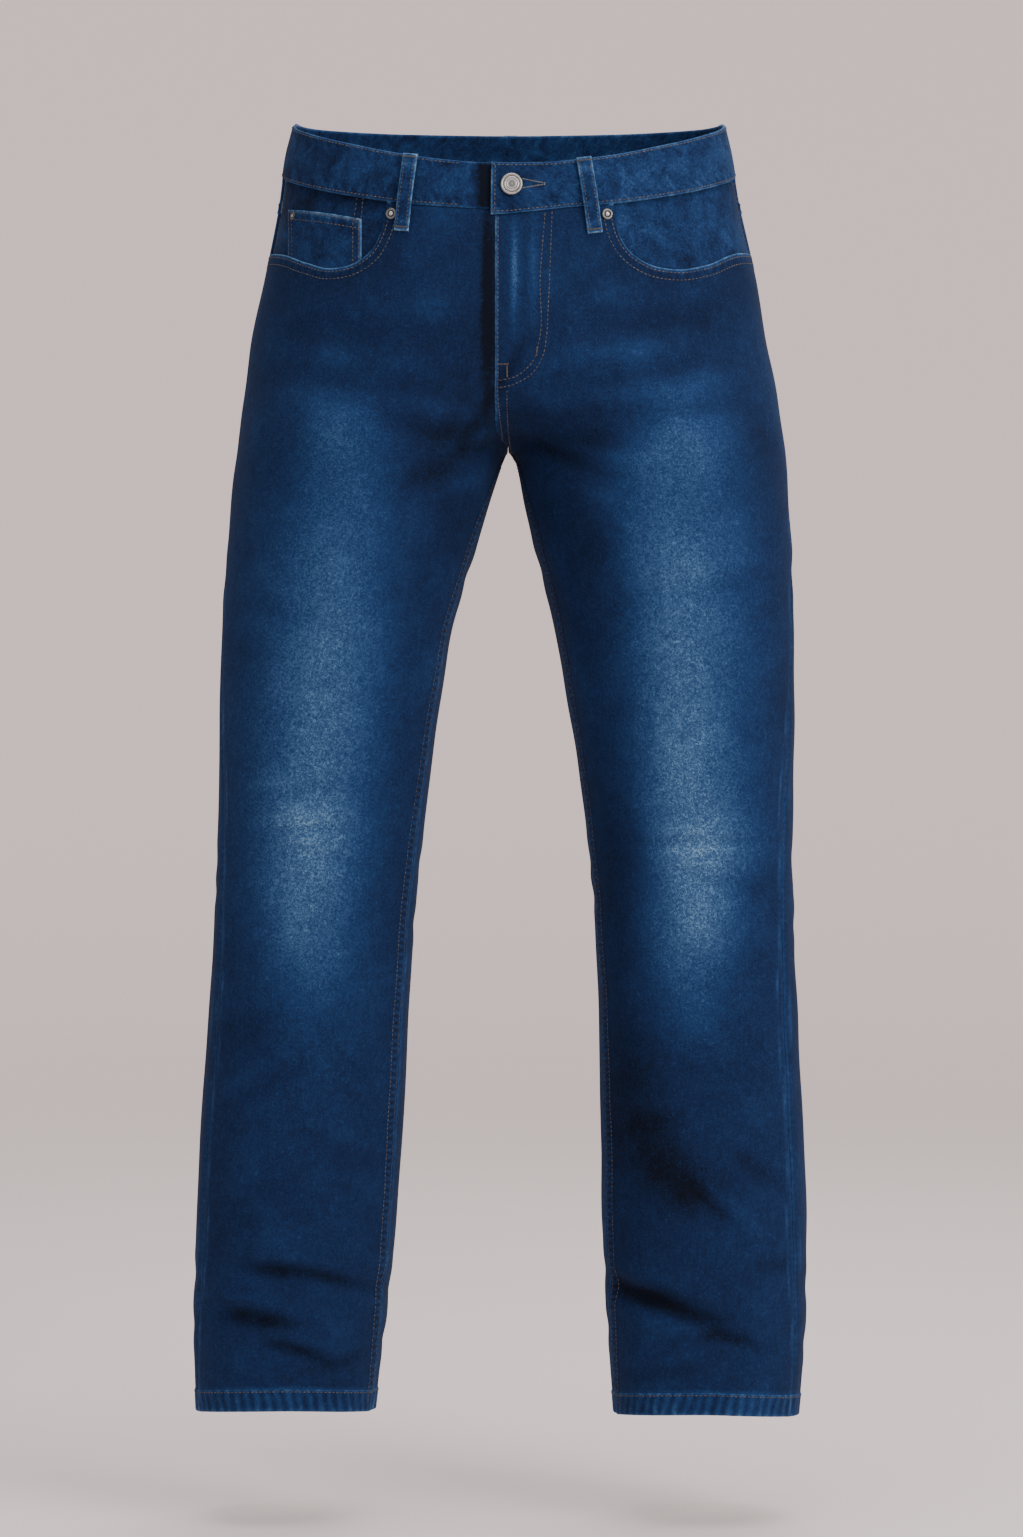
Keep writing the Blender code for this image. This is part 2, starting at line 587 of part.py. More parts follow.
def wall(name, points, normals, out, cloth, material="denim"):
    """Lofts a closed wall through a grid: its outer face lies `out` beyond the points."""
    out = np.broadcast_to(out, points.shape[:2])[..., None]
    cloth = np.broadcast_to(cloth, points.shape[:2])[..., None]
    faces = [points + normals * out, points + normals * (out - cloth)]
    rows, columns = points.shape[:2]
    built = bmesh.new()
    grids = []
    for face in faces:
        vertices = [built.verts.new(point) for point in face.reshape(-1, 3)]
        grids.append([vertices[row * columns:(row + 1) * columns] for row in range(rows)])
    outer, inner = grids
    for row in range(rows - 1):
        for step in range(columns - 1):
            for grid in grids:
                built.faces.new((grid[row][step], grid[row][step + 1],
                                 grid[row + 1][step + 1], grid[row + 1][step]))
    for row in range(rows - 1):
        for end in (0, -1):
            built.faces.new((outer[row][end], outer[row + 1][end], inner[row + 1][end], inner[row][end]))
    for step in range(columns - 1):
        for end in (0, -1):
            built.faces.new((outer[end][step], outer[end][step + 1], inner[end][step + 1], inner[end][step]))
    bmesh.ops.recalc_face_normals(built, faces=built.faces)
    mesh = bpy.data.meshes.new(name)
    built.to_mesh(mesh)
    built.free()
    mesh.polygons.foreach_set("use_smooth", [True] * len(mesh.polygons))
    mesh.set_sharp_from_angle(angle=math.radians(SHARP_ANGLE))
    return add_object(name, mesh, material)


def turned(name, profile, place, normal, steps, scale=1.0):
    """Turns a profile of (radius, height) about an axis that stands on the cloth."""
    mesh = bpy.data.meshes.new(name)
    points = [(radius * MM * scale, 0.0, height * MM * scale) for radius, height in profile]
    mesh.from_pydata(points, [(i, i + 1) for i in range(len(points) - 1)], [])
    piece = add_object(name, mesh, "pewter")
    screw = piece.modifiers.new("turned", "SCREW")
    screw.axis = "Z"
    screw.steps = screw.render_steps = steps
    screw.use_merge_vertices = True
    screw.merge_threshold = MERGED
    screw.use_normal_calculate = True
    piece.location = place
    piece.rotation_mode = "QUATERNION"
    piece.rotation_quaternion = normal_turn(normal)
    return piece


def normal_turn(normal):
    """The rotation that stands +Z on a normal."""
    return Vector(normal).to_track_quat("Z", "Y")


# ---------------------------------------------------------------- the pieces


def lie_on(points, columns, heights):
    """Points of a faceted panel at each column, whole or between two, and each height."""
    def along(index):
        line = points[:, index]
        return np.stack([np.interp(heights_at, line[:, 2], line[:, axis]) for axis in range(3)], axis=-1)

    found = []
    for column_at, heights_at in zip(columns, heights.T):
        before = int(min(np.floor(column_at), points.shape[1] - 2))
        share = column_at - before
        found.append(along(before) * (1 - share) + along(before + 1) * share)
    return np.stack(found, axis=1)


def panel(half, face):
    """A front or a back, from its waist or yoke seam down to the folded hem."""
    side = half.side
    upper = body_rows(half, face)
    lower, above = leg_rows(half, face, upper.shape[1])
    points = np.concatenate([lower, upper])
    normals = normal_of(points)
    out = -fold_depth(points, normals)
    if (side, face) == (LEFT, FRONT):
        out[lower.shape[0]:] += lap_lift(upper)
    cloth = np.full(points.shape[:2], CLOTH)
    cloth[: lower.shape[0]] = np.where(above < HEM_HEIGHT + HEM_STEP / 2, HEM_CLOTH, CLOTH)
    name = ("front_" if face == FRONT else "back_") + ("right" if side == RIGHT else "left")
    wall(name, points, normals, out, cloth)
    return points + normals * out[..., None]


def yoke(half):
    """The shaped piece between a back and the waistband."""
    share = half.yoke_lines()
    low = half.height_at(BACK, share, "yoke_seam", -SEAM_GAP / 2)
    high = half.height_at(BACK, share, "waist_seam", SEAM_GAP / 2)
    height = low + (high - low) * np.linspace(0, 1, BAND_ROWS)[:, None]
    points = half.on(BACK, share, height)
    strip = points[:, :1] * np.array([0, 1, 1]) + np.array([CENTRE_X + half.side * SEAM_GAP / 2, 0, 0])
    points = np.concatenate([strip, points], axis=1)
    name = "yoke_" + ("right" if half.side == RIGHT else "left")
    return wall(name, points, normal_of(points), 0.0, CLOTH)


def facing_lines(half):
    """The facing's columns, on the front's own lines, and the heights of its lower edge."""
    shares = half.fitted[FACING_FIRST:]
    foot = np.interp(shares, half.scoop_shares[SCOOP_FOOT:], half.scoop_heights[SCOOP_FOOT:])
    return shares, foot - FACING_BELOW


def facing(half):
    """The denim that lines a front pocket where its curved edge shows it."""
    shares, low = facing_lines(half)
    high = half.height_at(FRONT, shares, "waist_seam", SEAM_GAP / 2)
    height = low + (high - low) * np.linspace(0, 1, POCKET_ROWS)[:, None]
    points = half.on(FRONT, shares, height)
    normals = normal_of(points)
    name = "pocket_facing_" + ("right" if half.side == RIGHT else "left")
    wall(name, points, normals, -FACING_DEPTH[half.side], CLOTH, "denim_facing")
    return points - normals * FACING_DEPTH[half.side]


def columns_between(points, height, ends):
    """The columns of a faceted panel, whole or between two, from one x to another at a height."""
    row = int(np.argmin(np.abs(points[:, points.shape[1] // 2, 2] - height)))
    reach = np.abs(points[row, :, 0])
    first, last = np.interp(np.abs(ends), reach, np.arange(reach.size))
    return np.concatenate([[first], np.arange(np.ceil(first + 0.1), last - 0.1), [last]])


def coin_pocket(half, lining):
    """The small pocket that lies on the right facing and runs down behind the scoop."""
    columns = columns_between(lining, np.mean(COIN_TOPS), COIN_SIDES)
    high = np.interp(columns, columns[[0, -1]], COIN_TOPS)
    low = np.interp(columns - COIN_SCOOP, np.arange(half.scoop_heights.size), half.scoop_heights) - COIN_BELOW
    height = low + (high - low) * np.linspace(0, 1, POCKET_ROWS)[:, None]
    points = lie_on(lining, columns, height)
    return wall("coin_pocket", points, normal_of(points), GAP + COIN_CLOTH, COIN_CLOTH)


def back_pocket(half, back):
    """A plain patch pocket with a pointed foot, sewn on a back and made from its points."""
    size = BACK_POCKET
    first, last = BACK_POCKET_COLUMNS
    columns = np.arange(first, last + 1) + EDGE_COLUMNS
    across = np.linspace(-1, 1, columns.size)
    low = size["side"] - (size["side"] - size["point"]) * (1 - np.abs(across))
    rows = back[:, columns, 2]
    rows = rows[(rows.max(axis=1) > size["point"]) & (rows.min(axis=1) < size["top"])]
    close = POCKET_ROW * np.arange(len(rows))[:, None]
    height = np.clip(rows, low + close, size["top"] - close[::-1])
    height[0], height[-1] = low, size["top"]
    points = lie_on(back, columns, height)
    name = "back_pocket_" + ("right" if half.side == RIGHT else "left")
    return wall(name, points, normal_of(points), POCKET_GAP + BACK_POCKET_CLOTH, BACK_POCKET_CLOTH)


def band_azimuth(x):
    """The azimuth of a point on the front of the waistband."""
    return float(azimuth_of(front_point(x, BAND_HEIGHT)))


def waistband():
    """One strip round the waist, whose left end laps over its right end at the fly."""
    start = band_azimuth(BAND_UNDER_END)
    under = np.linspace(start, band_azimuth(-BAND_UNDER_END), BAND_UNDER_COLUMNS)
    over = np.linspace(band_azimuth(2 * BAND_UNDER_END), band_azimuth(BAND_OVER_END), BAND_OVER_COLUMNS)
    between = BAND_COLUMNS - BAND_UNDER_COLUMNS - BAND_OVER_COLUMNS
    round_back = np.linspace(under[-1], over[0] - 360, between + 2)[1:-1]
    azimuth = np.concatenate([under, round_back, over - 360])
    index = np.arange(azimuth.size)
    high = rim_height(azimuth, "rim")
    low = rim_height(azimuth, "waist_seam") + SEAM_GAP / 2
    x = torso_point(azimuth, low)[:, 0]
    begins = (index < azimuth.size / 4) & (np.abs(x) < BAND_FRONT)
    ends = (index > azimuth.size * 3 / 4) & (np.abs(x) < BAND_FRONT)
    low = low - over_drop(x) * ends
    height = low + (high - low) * np.linspace(0, 1, BAND_ROWS)[:, None]
    points = torso_point(azimuth, height)
    x = points[..., 0]
    shift = BAND_UNDER * smoothstep(x, *BAND_STEPS_BACK) * begins
    shift = shift + BAND_OVER * (1 - smoothstep(x, LAP_FLAT, LAP_GONE)) * ends
    return wall("waistband", points, normal_of(points), BAND_OUT + shift, BAND_CLOTH)


def belt_loop(place):
    """A folded strip over the waistband, sewn down at both ends and standing off between them."""
    bottom_turn, top_turn = LOOP_AZIMUTHS[place]
    low = float(rim_height(bottom_turn, "waist_seam")) - LOOP_BELOW
    high = float(rim_height(top_turn, "rim")) + LOOP_ABOVE
    along = np.linspace(0, 1, LOOP_SECTIONS)
    azimuth = bottom_turn + (top_turn - bottom_turn) * along
    centre = torso_point(azimuth, low + (high - low) * along)
    normals = normal_of(centre)
    up = np.gradient(centre, axis=0)
    sideways = np.cross(up, normals)
    sideways /= np.linalg.norm(sideways, axis=-1, keepdims=True)
    on_band = smoothstep(along, *LOOP_ON_BAND) * BAND_OUT
    clear = LOOP_CLEAR + on_band + LOOP_ARCH * np.sin(np.pi * along) ** 0.8
    folded = 1 + LOOP_FOLD * (1 - smoothstep(np.minimum(along, 1 - along), *LOOP_FOLD_ENDS))
    cloth = np.broadcast_to((LOOP_CLOTH * folded)[:, None], (LOOP_SECTIONS, 3))
    lift = LAP_LIFT * (1 - smoothstep(centre[:, 0], LAP_FLAT, LAP_GONE)) * (place == "front_left")
    columns = np.array([-0.5, 0.0, 0.5]) * LOOP_WIDTH
    points = centre[:, None] + sideways[:, None] * columns[None, :, None]
    out = np.broadcast_to((clear + lift)[:, None] + cloth, cloth.shape)
    spread = np.broadcast_to(normals[:, None], points.shape)
    return wall("belt_loop_" + place, points, spread, out, cloth)


def button():
    """The turned metal shank button that fastens the waistband."""
    place = front_point(*BUTTON_PLACE)
    normal = normal_of(place)
    stands = BAND_OUT + BAND_OVER + GAP
    return turned("button", BUTTON_PROFILE, place + normal * stands, normal, TURNED_STEPS["button"])


def rivet(name):
    """A small turned rivet at a pocket corner."""
    x, height, out = RIVET_PLACES[name]
    place = front_point(x, height)
    normal = normal_of(place)
    place = place + normal * (out + GAP)
    return turned("rivet_" + name, RIVET_PROFILE, place, normal, TURNED_STEPS["rivet"], RIVET_SIZES[name])


def fly_strip(name, edges, heights, depth, cloth, material):
    """A flat strip behind the fly: the zip, or the shield that backs it."""
    x = np.linspace(edges[0], edges[1], FLY_COLUMNS)
    height = np.linspace(heights[1], heights[0], FLY_ROWS)[:, None]
    points = front_point(x, height)
    return wall(name, points, normal_of(points), -depth, cloth, material)


def zip_slider():
    """The zip's slider and its pull tab, at rest at the top of the closed zip."""
    bpy.ops.mesh.primitive_cube_add(size=1)
    slider = bpy.context.object
    slider.name = slider.data.name = "zip_slider"
    for collection in slider.users_collection:
        collection.objects.unlink(slider)
    bpy.data.collections["straight_leg_jeans"].objects.link(slider)
    slider.data.materials.append(finish("zip_brass"))
    slider.scale = SLIDER_SIZE
    place = front_point(*SLIDER_PLACE)
    normal = normal_of(place)
    slider.location = place - normal * (ZIP_DEPTH - GAP - SLIDER_SIZE[2] / 2)
    slider.rotation_mode = "QUATERNION"
    slider.rotation_quaternion = normal_turn(normal)
    bevel = slider.modifiers.new("rounded", "BEVEL")
    bevel.width = SLIDER_ROUNDING
    bevel.segments = 2
    return slider


def main():
    for old in list(bpy.data.objects):
        bpy.data.objects.remove(old, do_unlink=True)
    collection = bpy.data.collections.new("straight_leg_jeans")
    bpy.context.scene.collection.children.link(collection)
    for side in (RIGHT, LEFT):
        half = Half(side)
        panel(half, FRONT)
        back_pocket(half, panel(half, BACK))
        yoke(half)
        lining = facing(half)
        if side == RIGHT:
            coin_pocket(half, lining)
    waistband()
    for place in LOOP_AZIMUTHS:
        belt_loop(place)
    button()
    for name in RIVET_PLACES:
        rivet(name)
    fly_strip("zip", ZIP_EDGES, ZIP_HEIGHTS, ZIP_DEPTH, ZIP_CLOTH, "zip_tape")
    fly_strip("fly_shield", SHIELD_EDGES, SHIELD_HEIGHTS, SHIELD_DEPTH, SHIELD_CLOTH, "denim_facing")
    zip_slider()


main()
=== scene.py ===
"""Straight leg jeans, dressed: fine denim shells, topstitching, metal fittings, light and camera.

Everything is in metres in the frame of the solids: +Z up, the front faces -Y and the wearer's right is
at -X. Every piece of cloth is a grid of points on one closed form, two legs that run into a torso,
moved out along that form's normal by its layer, its folds and its sewn relief.
"""

import logging
import math
from dataclasses import dataclass
from enum import Enum, IntEnum

import bpy
import numpy as np
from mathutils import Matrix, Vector
from mathutils.bvhtree import BVHTree


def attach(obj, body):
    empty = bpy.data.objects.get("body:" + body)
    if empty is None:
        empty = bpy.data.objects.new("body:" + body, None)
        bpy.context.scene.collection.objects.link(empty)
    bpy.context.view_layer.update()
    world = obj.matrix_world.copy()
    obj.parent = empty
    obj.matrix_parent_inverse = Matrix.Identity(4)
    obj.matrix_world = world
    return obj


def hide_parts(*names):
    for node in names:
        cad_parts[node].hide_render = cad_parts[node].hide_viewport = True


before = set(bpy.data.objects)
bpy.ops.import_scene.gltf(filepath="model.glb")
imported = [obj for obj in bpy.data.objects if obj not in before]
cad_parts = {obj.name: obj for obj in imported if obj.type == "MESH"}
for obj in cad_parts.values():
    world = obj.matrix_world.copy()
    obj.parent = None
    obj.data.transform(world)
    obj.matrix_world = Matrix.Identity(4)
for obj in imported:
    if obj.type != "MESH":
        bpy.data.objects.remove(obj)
LOG = logging.getLogger("jeans")

MM = 0.001
Array = np.ndarray
Colour = tuple[float, float, float]
Place = tuple[float, float, float]
Span = tuple[float, float]


class Side(IntEnum):
    """A side of the wearer; its number is the sign of x there."""

    RIGHT = -1
    LEFT = 1


class Face(IntEnum):
    """The front or the back; its number is the sign of y there."""

    FRONT = -1
    BACK = 1


class Seam(Enum):
    """A seam round the top, by its column in the table of heights."""

    RIM = "rim"
    WAIST = "waist_seam"
    YOKE = "yoke_seam"


class Facing(Enum):
    """A way that the cloth can face, as the direction that it faces in."""

    FRONT = (0.0, -1.0, 0.0)
    BACK = (0.0, 1.0, 0.0)
    RIGHT = (-1.0, 0.0, 0.0)
    LEFT = (1.0, 0.0, 0.0)


class Edge(Enum):
    """An edge of a grid of cloth: its first or last column, its lowest or highest row."""

    FIRST = "first"
    LAST = "last"
    LOW = "up"
    TOP = "down"


# ------------------------------------------------------------------ tables


class Table:
    """Rows of numbers under named columns. Its lengths are given in millimetres and kept in metres."""

    def __init__(self, names: str, plain: str, *rows: tuple[float, ...]) -> None:
        """Keeps each column as an array.

        Args:
            names: the columns' names. Curves run along the first.
            plain: the names of those that hold no lengths.
            rows: the numbers.
        """
        self.along = names.split()[0]
        self.columns = {name: np.array(values, float) * (1 if name in plain.split() else MM)
                        for name, values in zip(names.split(), zip(*rows))}

    def curve(self, name: str, at: Array) -> Array:
        """A column as a smooth curve along the first one."""
        return smooth_curve(at, self.columns[self.along], self.columns[name])


SECTIONS = Table(
    "height right_outer right_inner left_inner left_outer front back", "",
    (-1030, -251, -111.5, 84.5, 229, -55, 87),
    (-959, -254, -103, 79, 235.5, -56, 84),
    (-863, -252, -92, 74, 237.5, -58, 79),
    (-767, -247, -85, 72, 234, -63, 73),
    (-671, -240, -80, 70, 229, -70, 66),
    (-575, -234, -73, 64, 225, -81, 64),
    (-479, -232, -61, 52, 226, -91, 75),
    (-383, -230, -46, 35, 226, -100, 86),
    (-335, -227, -33, 24, 225, -104, 92),
    (-287, -223, -18, 12, 222, -107, 99),
    (-257, -220, -9.5, 7, 220, -110, 106),
    (-244, -218, -6, 4.5, 219, -111, 109),
    (-203, -213, 29, -33, 214, -114, 120),
    (-155, -207, 58, -60, 205, -118, 128),
    (-107, -197, 62, -62, 197, -118, 125),
    (-59, -187, 62, -62, 186, -115, 116),
    (-11, -180, 62, -62, 177, -111, 109),
    (45, -166, 62, -62, 166, -106, 103),
)
SEAMS = Table(
    "height right_outseam left_outseam right_inseam left_inseam",
    "right_outseam left_outseam right_inseam left_inseam",
    (-1030, 160, 154, 16, 12),
    (-900, 157, 150, 20, 16),
    (-560, 157, 151, 21, 13),
    (-431, 162, 158, 20, 14),
    (-335, 168, 166, 17, 14),
    (-290, 171, 170, 14, 12),
    (-262, 173, 172, 6, 6),
    (-245, 174, 173, 0, 0),
    (-203, 175, 174, 0, 0),
    (45, 172, 172, 0, 0),
)
RIM = Table(
    "azimuth rim waist_seam yoke_seam", "azimuth",
    (0, -25, -61, -52),
    (20, -23, -59, -52),
    (40, -16, -54, -52),
    (57, -5, -45, -52),
    (75, 10, -31, -52),
    (88, 20, -21, -52),
    (110, 25, -16, -57),
    (140, 27, -13, -69),
    (180, 27, -13, -88),
)
# The front pockets' edges, as x and height in millimetres, and the height in metres at which they end.
SCOOPS = {
    Side.RIGHT: ((-96, -56), (-97.5, -66), (-101, -78), (-109, -92), (-122, -101), (-140, -104),
                 (-160, -98), (-177, -90)),
    Side.LEFT: ((79.5, -56), (81, -67), (85, -81), (93, -93), (107, -102), (128, -105.5),
                (152, -101), (174, -90)),
}
SCOOP_END = -0.0835

# Folds, which are in the solids as well, in millimetres: where each lies across and its height, how far
# it runs either way, its width, its depth, and its slope as the rise for each unit across.
FOLDS = {
    Facing.FRONT: (
        (-177, -894, 50, 11, 5.0, -0.19), (-209, -927, 34, 10, 3.5, -0.10), (-172, -957, 32, 9, 3.5, -0.26),
        (127, -919, 48, 12, 6.0, -0.36), (168, -951, 32, 9, 3.5, -0.10), (160, -853, 24, 9, 2.0, -0.60),
        (62, -229, 45, 11, 2.5, 0.05),
    ),
    Facing.BACK: (
        (-165, -600, 46, 14, 4.0, 0.22), (-160, -560, 40, 13, 3.0, -0.18), (150, -585, 46, 14, 4.0, -0.20),
        (145, -628, 38, 13, 3.0, 0.16), (-180, -905, 42, 11, 4.0, 0.12), (160, -925, 44, 11, 4.0, -0.14),
    ),
}
# Creases, with the same numbers, and last a bend as the rise at both ends.
CREASES = {
    Facing.FRONT: (
        (108, -148, 50, 10, 1.0, 0.10, 3), (95, -190, 56, 10, 1.5, 0.12, 4),
        (140, -215, 44, 11, 1.0, 0.22, -4), (60, -262, 40, 9, 1.3, -0.30, 3),
        (-96, -158, 52, 11, 0.9, -0.08, 4), (-120, -198, 60, 11, 1.3, -0.14, 4),
        (-70, -230, 44, 10, 1.4, -0.24, 3), (-52, -262, 36, 8, 1.2, 0.34, 2),
        (-16, -208, 26, 8, 1.6, 1.6, 0), (-24, -243, 20, 5, 1.4, 0.35, 1), (34, -246, 26, 6, 1.3, -0.40, 1),
        (172, -352, 40, 9, 0.9, 0.20, 3), (-178, -372, 36, 9, 0.8, -0.25, -3),
        (-158, -541, 40, 5, 1.1, 0.05, 3), (-140, -566, 34, 6, 0.8, -0.20, 3),
        (-172, -512, 30, 6, 0.7, 0.24, -2), (150, -552, 48, 5, 1.2, 0.03, -3),
        (132, -528, 30, 6, 0.7, 0.22, 2), (165, -585, 32, 6, 0.8, -0.16, 2),
        (-196, -745, 30, 8, 0.8, 0.55, 0), (-130, -800, 34, 9, 0.9, -0.35, 2),
        (120, -770, 36, 9, 0.9, 0.30, 2), (196, -812, 26, 8, 0.9, -0.60, 0),
        (-165, -891, 46, 5, 2.2, -0.15, -5), (-203, -927, 28, 7, 2.4, -0.12, -2),
        (-170, -951, 25, 5, 2.2, -0.30, -3), (-140, -965, 26, 5, 0.9, 0.25, 2),
        (124, -920, 44, 8, 2.6, -0.32, 0), (168, -942, 25, 5, 2.2, -0.12, -4),
        (206, -887, 17, 6, 1.3, 0.00, 0), (158, -838, 22, 7, 1.6, -0.80, 0),
        (118, -972, 26, 5, 0.8, 0.12, 2),
    ),
    Facing.BACK: (
        (-62, -214, 44, 9, 2.0, -0.34, 4), (-100, -246, 52, 10, 2.2, -0.16, 4),
        (-60, -276, 40, 8, 1.6, 0.32, 2), (66, -210, 44, 9, 2.0, 0.34, 4),
        (104, -250, 52, 10, 2.2, 0.14, 4), (54, -282, 40, 8, 1.6, -0.30, 2),
        (-140, -330, 40, 10, 1.1, 0.30, 0), (150, -352, 40, 10, 1.1, -0.26, 0),
        (-190, -520, 34, 8, 1.7, 0.34, -3), (-120, -530, 34, 8, 1.7, -0.36, -3),
        (-150, -636, 44, 9, 1.8, 0.10, 4), (-196, -676, 34, 8, 1.5, -0.42, 0),
        (112, -552, 34, 8, 1.7, 0.38, -3), (186, -546, 34, 8, 1.6, -0.30, -3),
        (160, -664, 40, 9, 1.6, -0.14, 4), (104, -690, 30, 8, 1.3, 0.40, 0),
        (-160, -800, 42, 9, 1.2, -0.30, 0), (150, -812, 40, 9, 1.2, 0.28, 0),
        (-140, -868, 40, 8, 1.8, -0.16, 3), (-206, -884, 30, 8, 1.6, 0.30, 0),
        (-172, -944, 46, 8, 1.9, 0.08, 3), (-128, -975, 28, 6, 1.3, -0.20, 0),
        (120, -880, 40, 8, 1.8, 0.20, 3), (196, -896, 30, 8, 1.6, -0.28, 0),
        (150, -958, 46, 8, 1.9, -0.06, 3),
    ),
    Facing.RIGHT: (
        (20, -560, 40, 9, 0.8, 0.30, 3), (10, -600, 36, 8, 0.7, -0.26, 3), (0, -900, 40, 9, 0.8, 0.22, 3),
        (30, -945, 38, 8, 0.8, -0.18, 3), (15, -330, 40, 10, 1.0, 0.30, 0),
    ),
    Facing.LEFT: (
        (20, -580, 40, 9, 0.8, -0.30, 3), (5, -615, 36, 8, 0.7, 0.24, 3), (6, -910, 40, 9, 0.8, -0.20, 3),
        (30, -950, 38, 8, 0.8, 0.20, 3), (10, -345, 40, 10, 1.0, -0.28, 0),
    ),
}

# Where the indigo is worn: a band down each leg, by height, and soft spots, each as where it lies across
# and its height, how far it reaches across and up or down, and how worn it is. The spots with a
# negative number are painted shade, not wear: beside the fly, in the crotch, between the legs and in
# the troughs of the folds and creases. The faint spot at 75, -150 is painted light on the hip that the key
# light falls on.
BANDS = Table(
    "height right_across left_across right_worn left_worn half_width", "right_worn left_worn",
    (-1000, -160, 140, 0.00, 0.00, 32),
    (-760, -155, 140, 0.02, 0.02, 35),
    (-720, -152, 141, 0.07, 0.08, 36),
    (-673, -151, 141, 0.23, 0.31, 36),
    (-635, -156, 142, 0.47, 0.58, 37),
    (-596, -156, 147, 0.66, 0.71, 38),
    (-557, -153, 150, 0.76, 0.78, 41),
    (-518, -153, 144, 0.69, 0.73, 43),
    (-472, -149, 138, 0.63, 0.66, 45),
    (-425, -145, 136, 0.65, 0.62, 46),
    (-379, -140, 138, 0.54, 0.58, 48),
    (-332, -139, 134, 0.50, 0.54, 49),
    (-286, -129, 131, 0.36, 0.46, 49),
    (-232, -132, 126, 0.35, 0.50, 44),
    (-180, -130, 132, 0.06, 0.09, 46),
    (60, -126, 138, 0.00, 0.05, 52),
)
WEAR_AND_SHADING_SPOTS = {
    Facing.FRONT: (
        (3.2, -108, 3.0, 34, 0.62), (17.5, -104, 3.4, 34, 0.30), (92, -214, 50, 9, -0.16),
        (70, -238, 45, 12, -0.22), (-40, -215, 44, 60, -0.14), (-17.5, -125, 4.5, 75, -0.60),
        (75, -150, 60, 70, 0.03), (116, -912, 24, 8, -0.22), (-192, -934, 26, 7, -0.12),
        (-205, -500, 26, 190, 0.12), (86, -570, 20, 110, -0.12), (96, -750, 26, 45, -0.22),
        (120, -800, 26, 30, -0.24), (142, -826, 26, 20, -0.26), (-158, -536, 42, 4, 0.20),
        (148, -556, 46, 4, 0.22), (60, -300, 26, 60, -0.12), (-70, -300, 30, 60, -0.12),
    ),
    Facing.BACK: (
        (-98, -155, 46, 52, 0.42), (98, -155, 46, 52, 0.42), (-120, -330, 40, 90, 0.30),
        (122, -330, 40, 90, 0.30), (-158, -580, 44, 70, -0.14), (150, -590, 44, 70, -0.14),
        (-165, -740, 36, 70, 0.18), (152, -740, 36, 70, 0.18),
    ),
}


def smoothstep(value: Array | float, start: float, end: float) -> Array:
    """0 at the start and 1 at the end, level at both: 3s^2 - 2s^3 of the share s between them."""
    share = np.clip((np.asarray(value, float) - start) / (end - start), 0, 1)
    return share * share * (3 - 2 * share)


def smooth_curve(at: Array | float, knots: Array, values: Array) -> Array:
    """A cubic Hermite curve through the knots, with the mean slope at each, level beyond the ends.

    Args:
        at: where the curve is read.
        knots: rising positions.
        values: the curve's value at each knot.

    Returns:
        The curve's values.
    """
    slopes = np.gradient(values, knots)
    index = np.clip(np.searchsorted(knots, at) - 1, 0, len(knots) - 2)
    step = knots[index + 1] - knots[index]
    t = np.clip((at - knots[index]) / step, 0, 1)
    start = (1 + 2 * t) * (1 - t) ** 2 * values[index] + t * (1 - t) ** 2 * step * slopes[index]
    end = t * t * (3 - 2 * t) * values[index + 1] - t * t * (1 - t) * step * slopes[index + 1]
    return start + end


def unit(vectors: Array) -> Array:
    """The vectors at length 1."""
    return vectors / np.maximum(np.linalg.norm(vectors, axis=-1, keepdims=True), 1e-12)


def vectors(*parts: Array | float) -> Array:
    """Rows from their x, y and z or other parts, which are broadcast together."""
    return np.stack(np.broadcast_arrays(*parts), axis=-1)


def mix(start: Array | float, end: Array | float, share: Array | float) -> Array:
    """start + (end - start) * share."""
    return start + (end - start) * share


def bell(value: Array, width: float | Array) -> Array:
    """exp(-(value / width)^2)."""
    return np.exp(-((value / width) ** 2))


# ------------------------------------------------------------------ the body's form


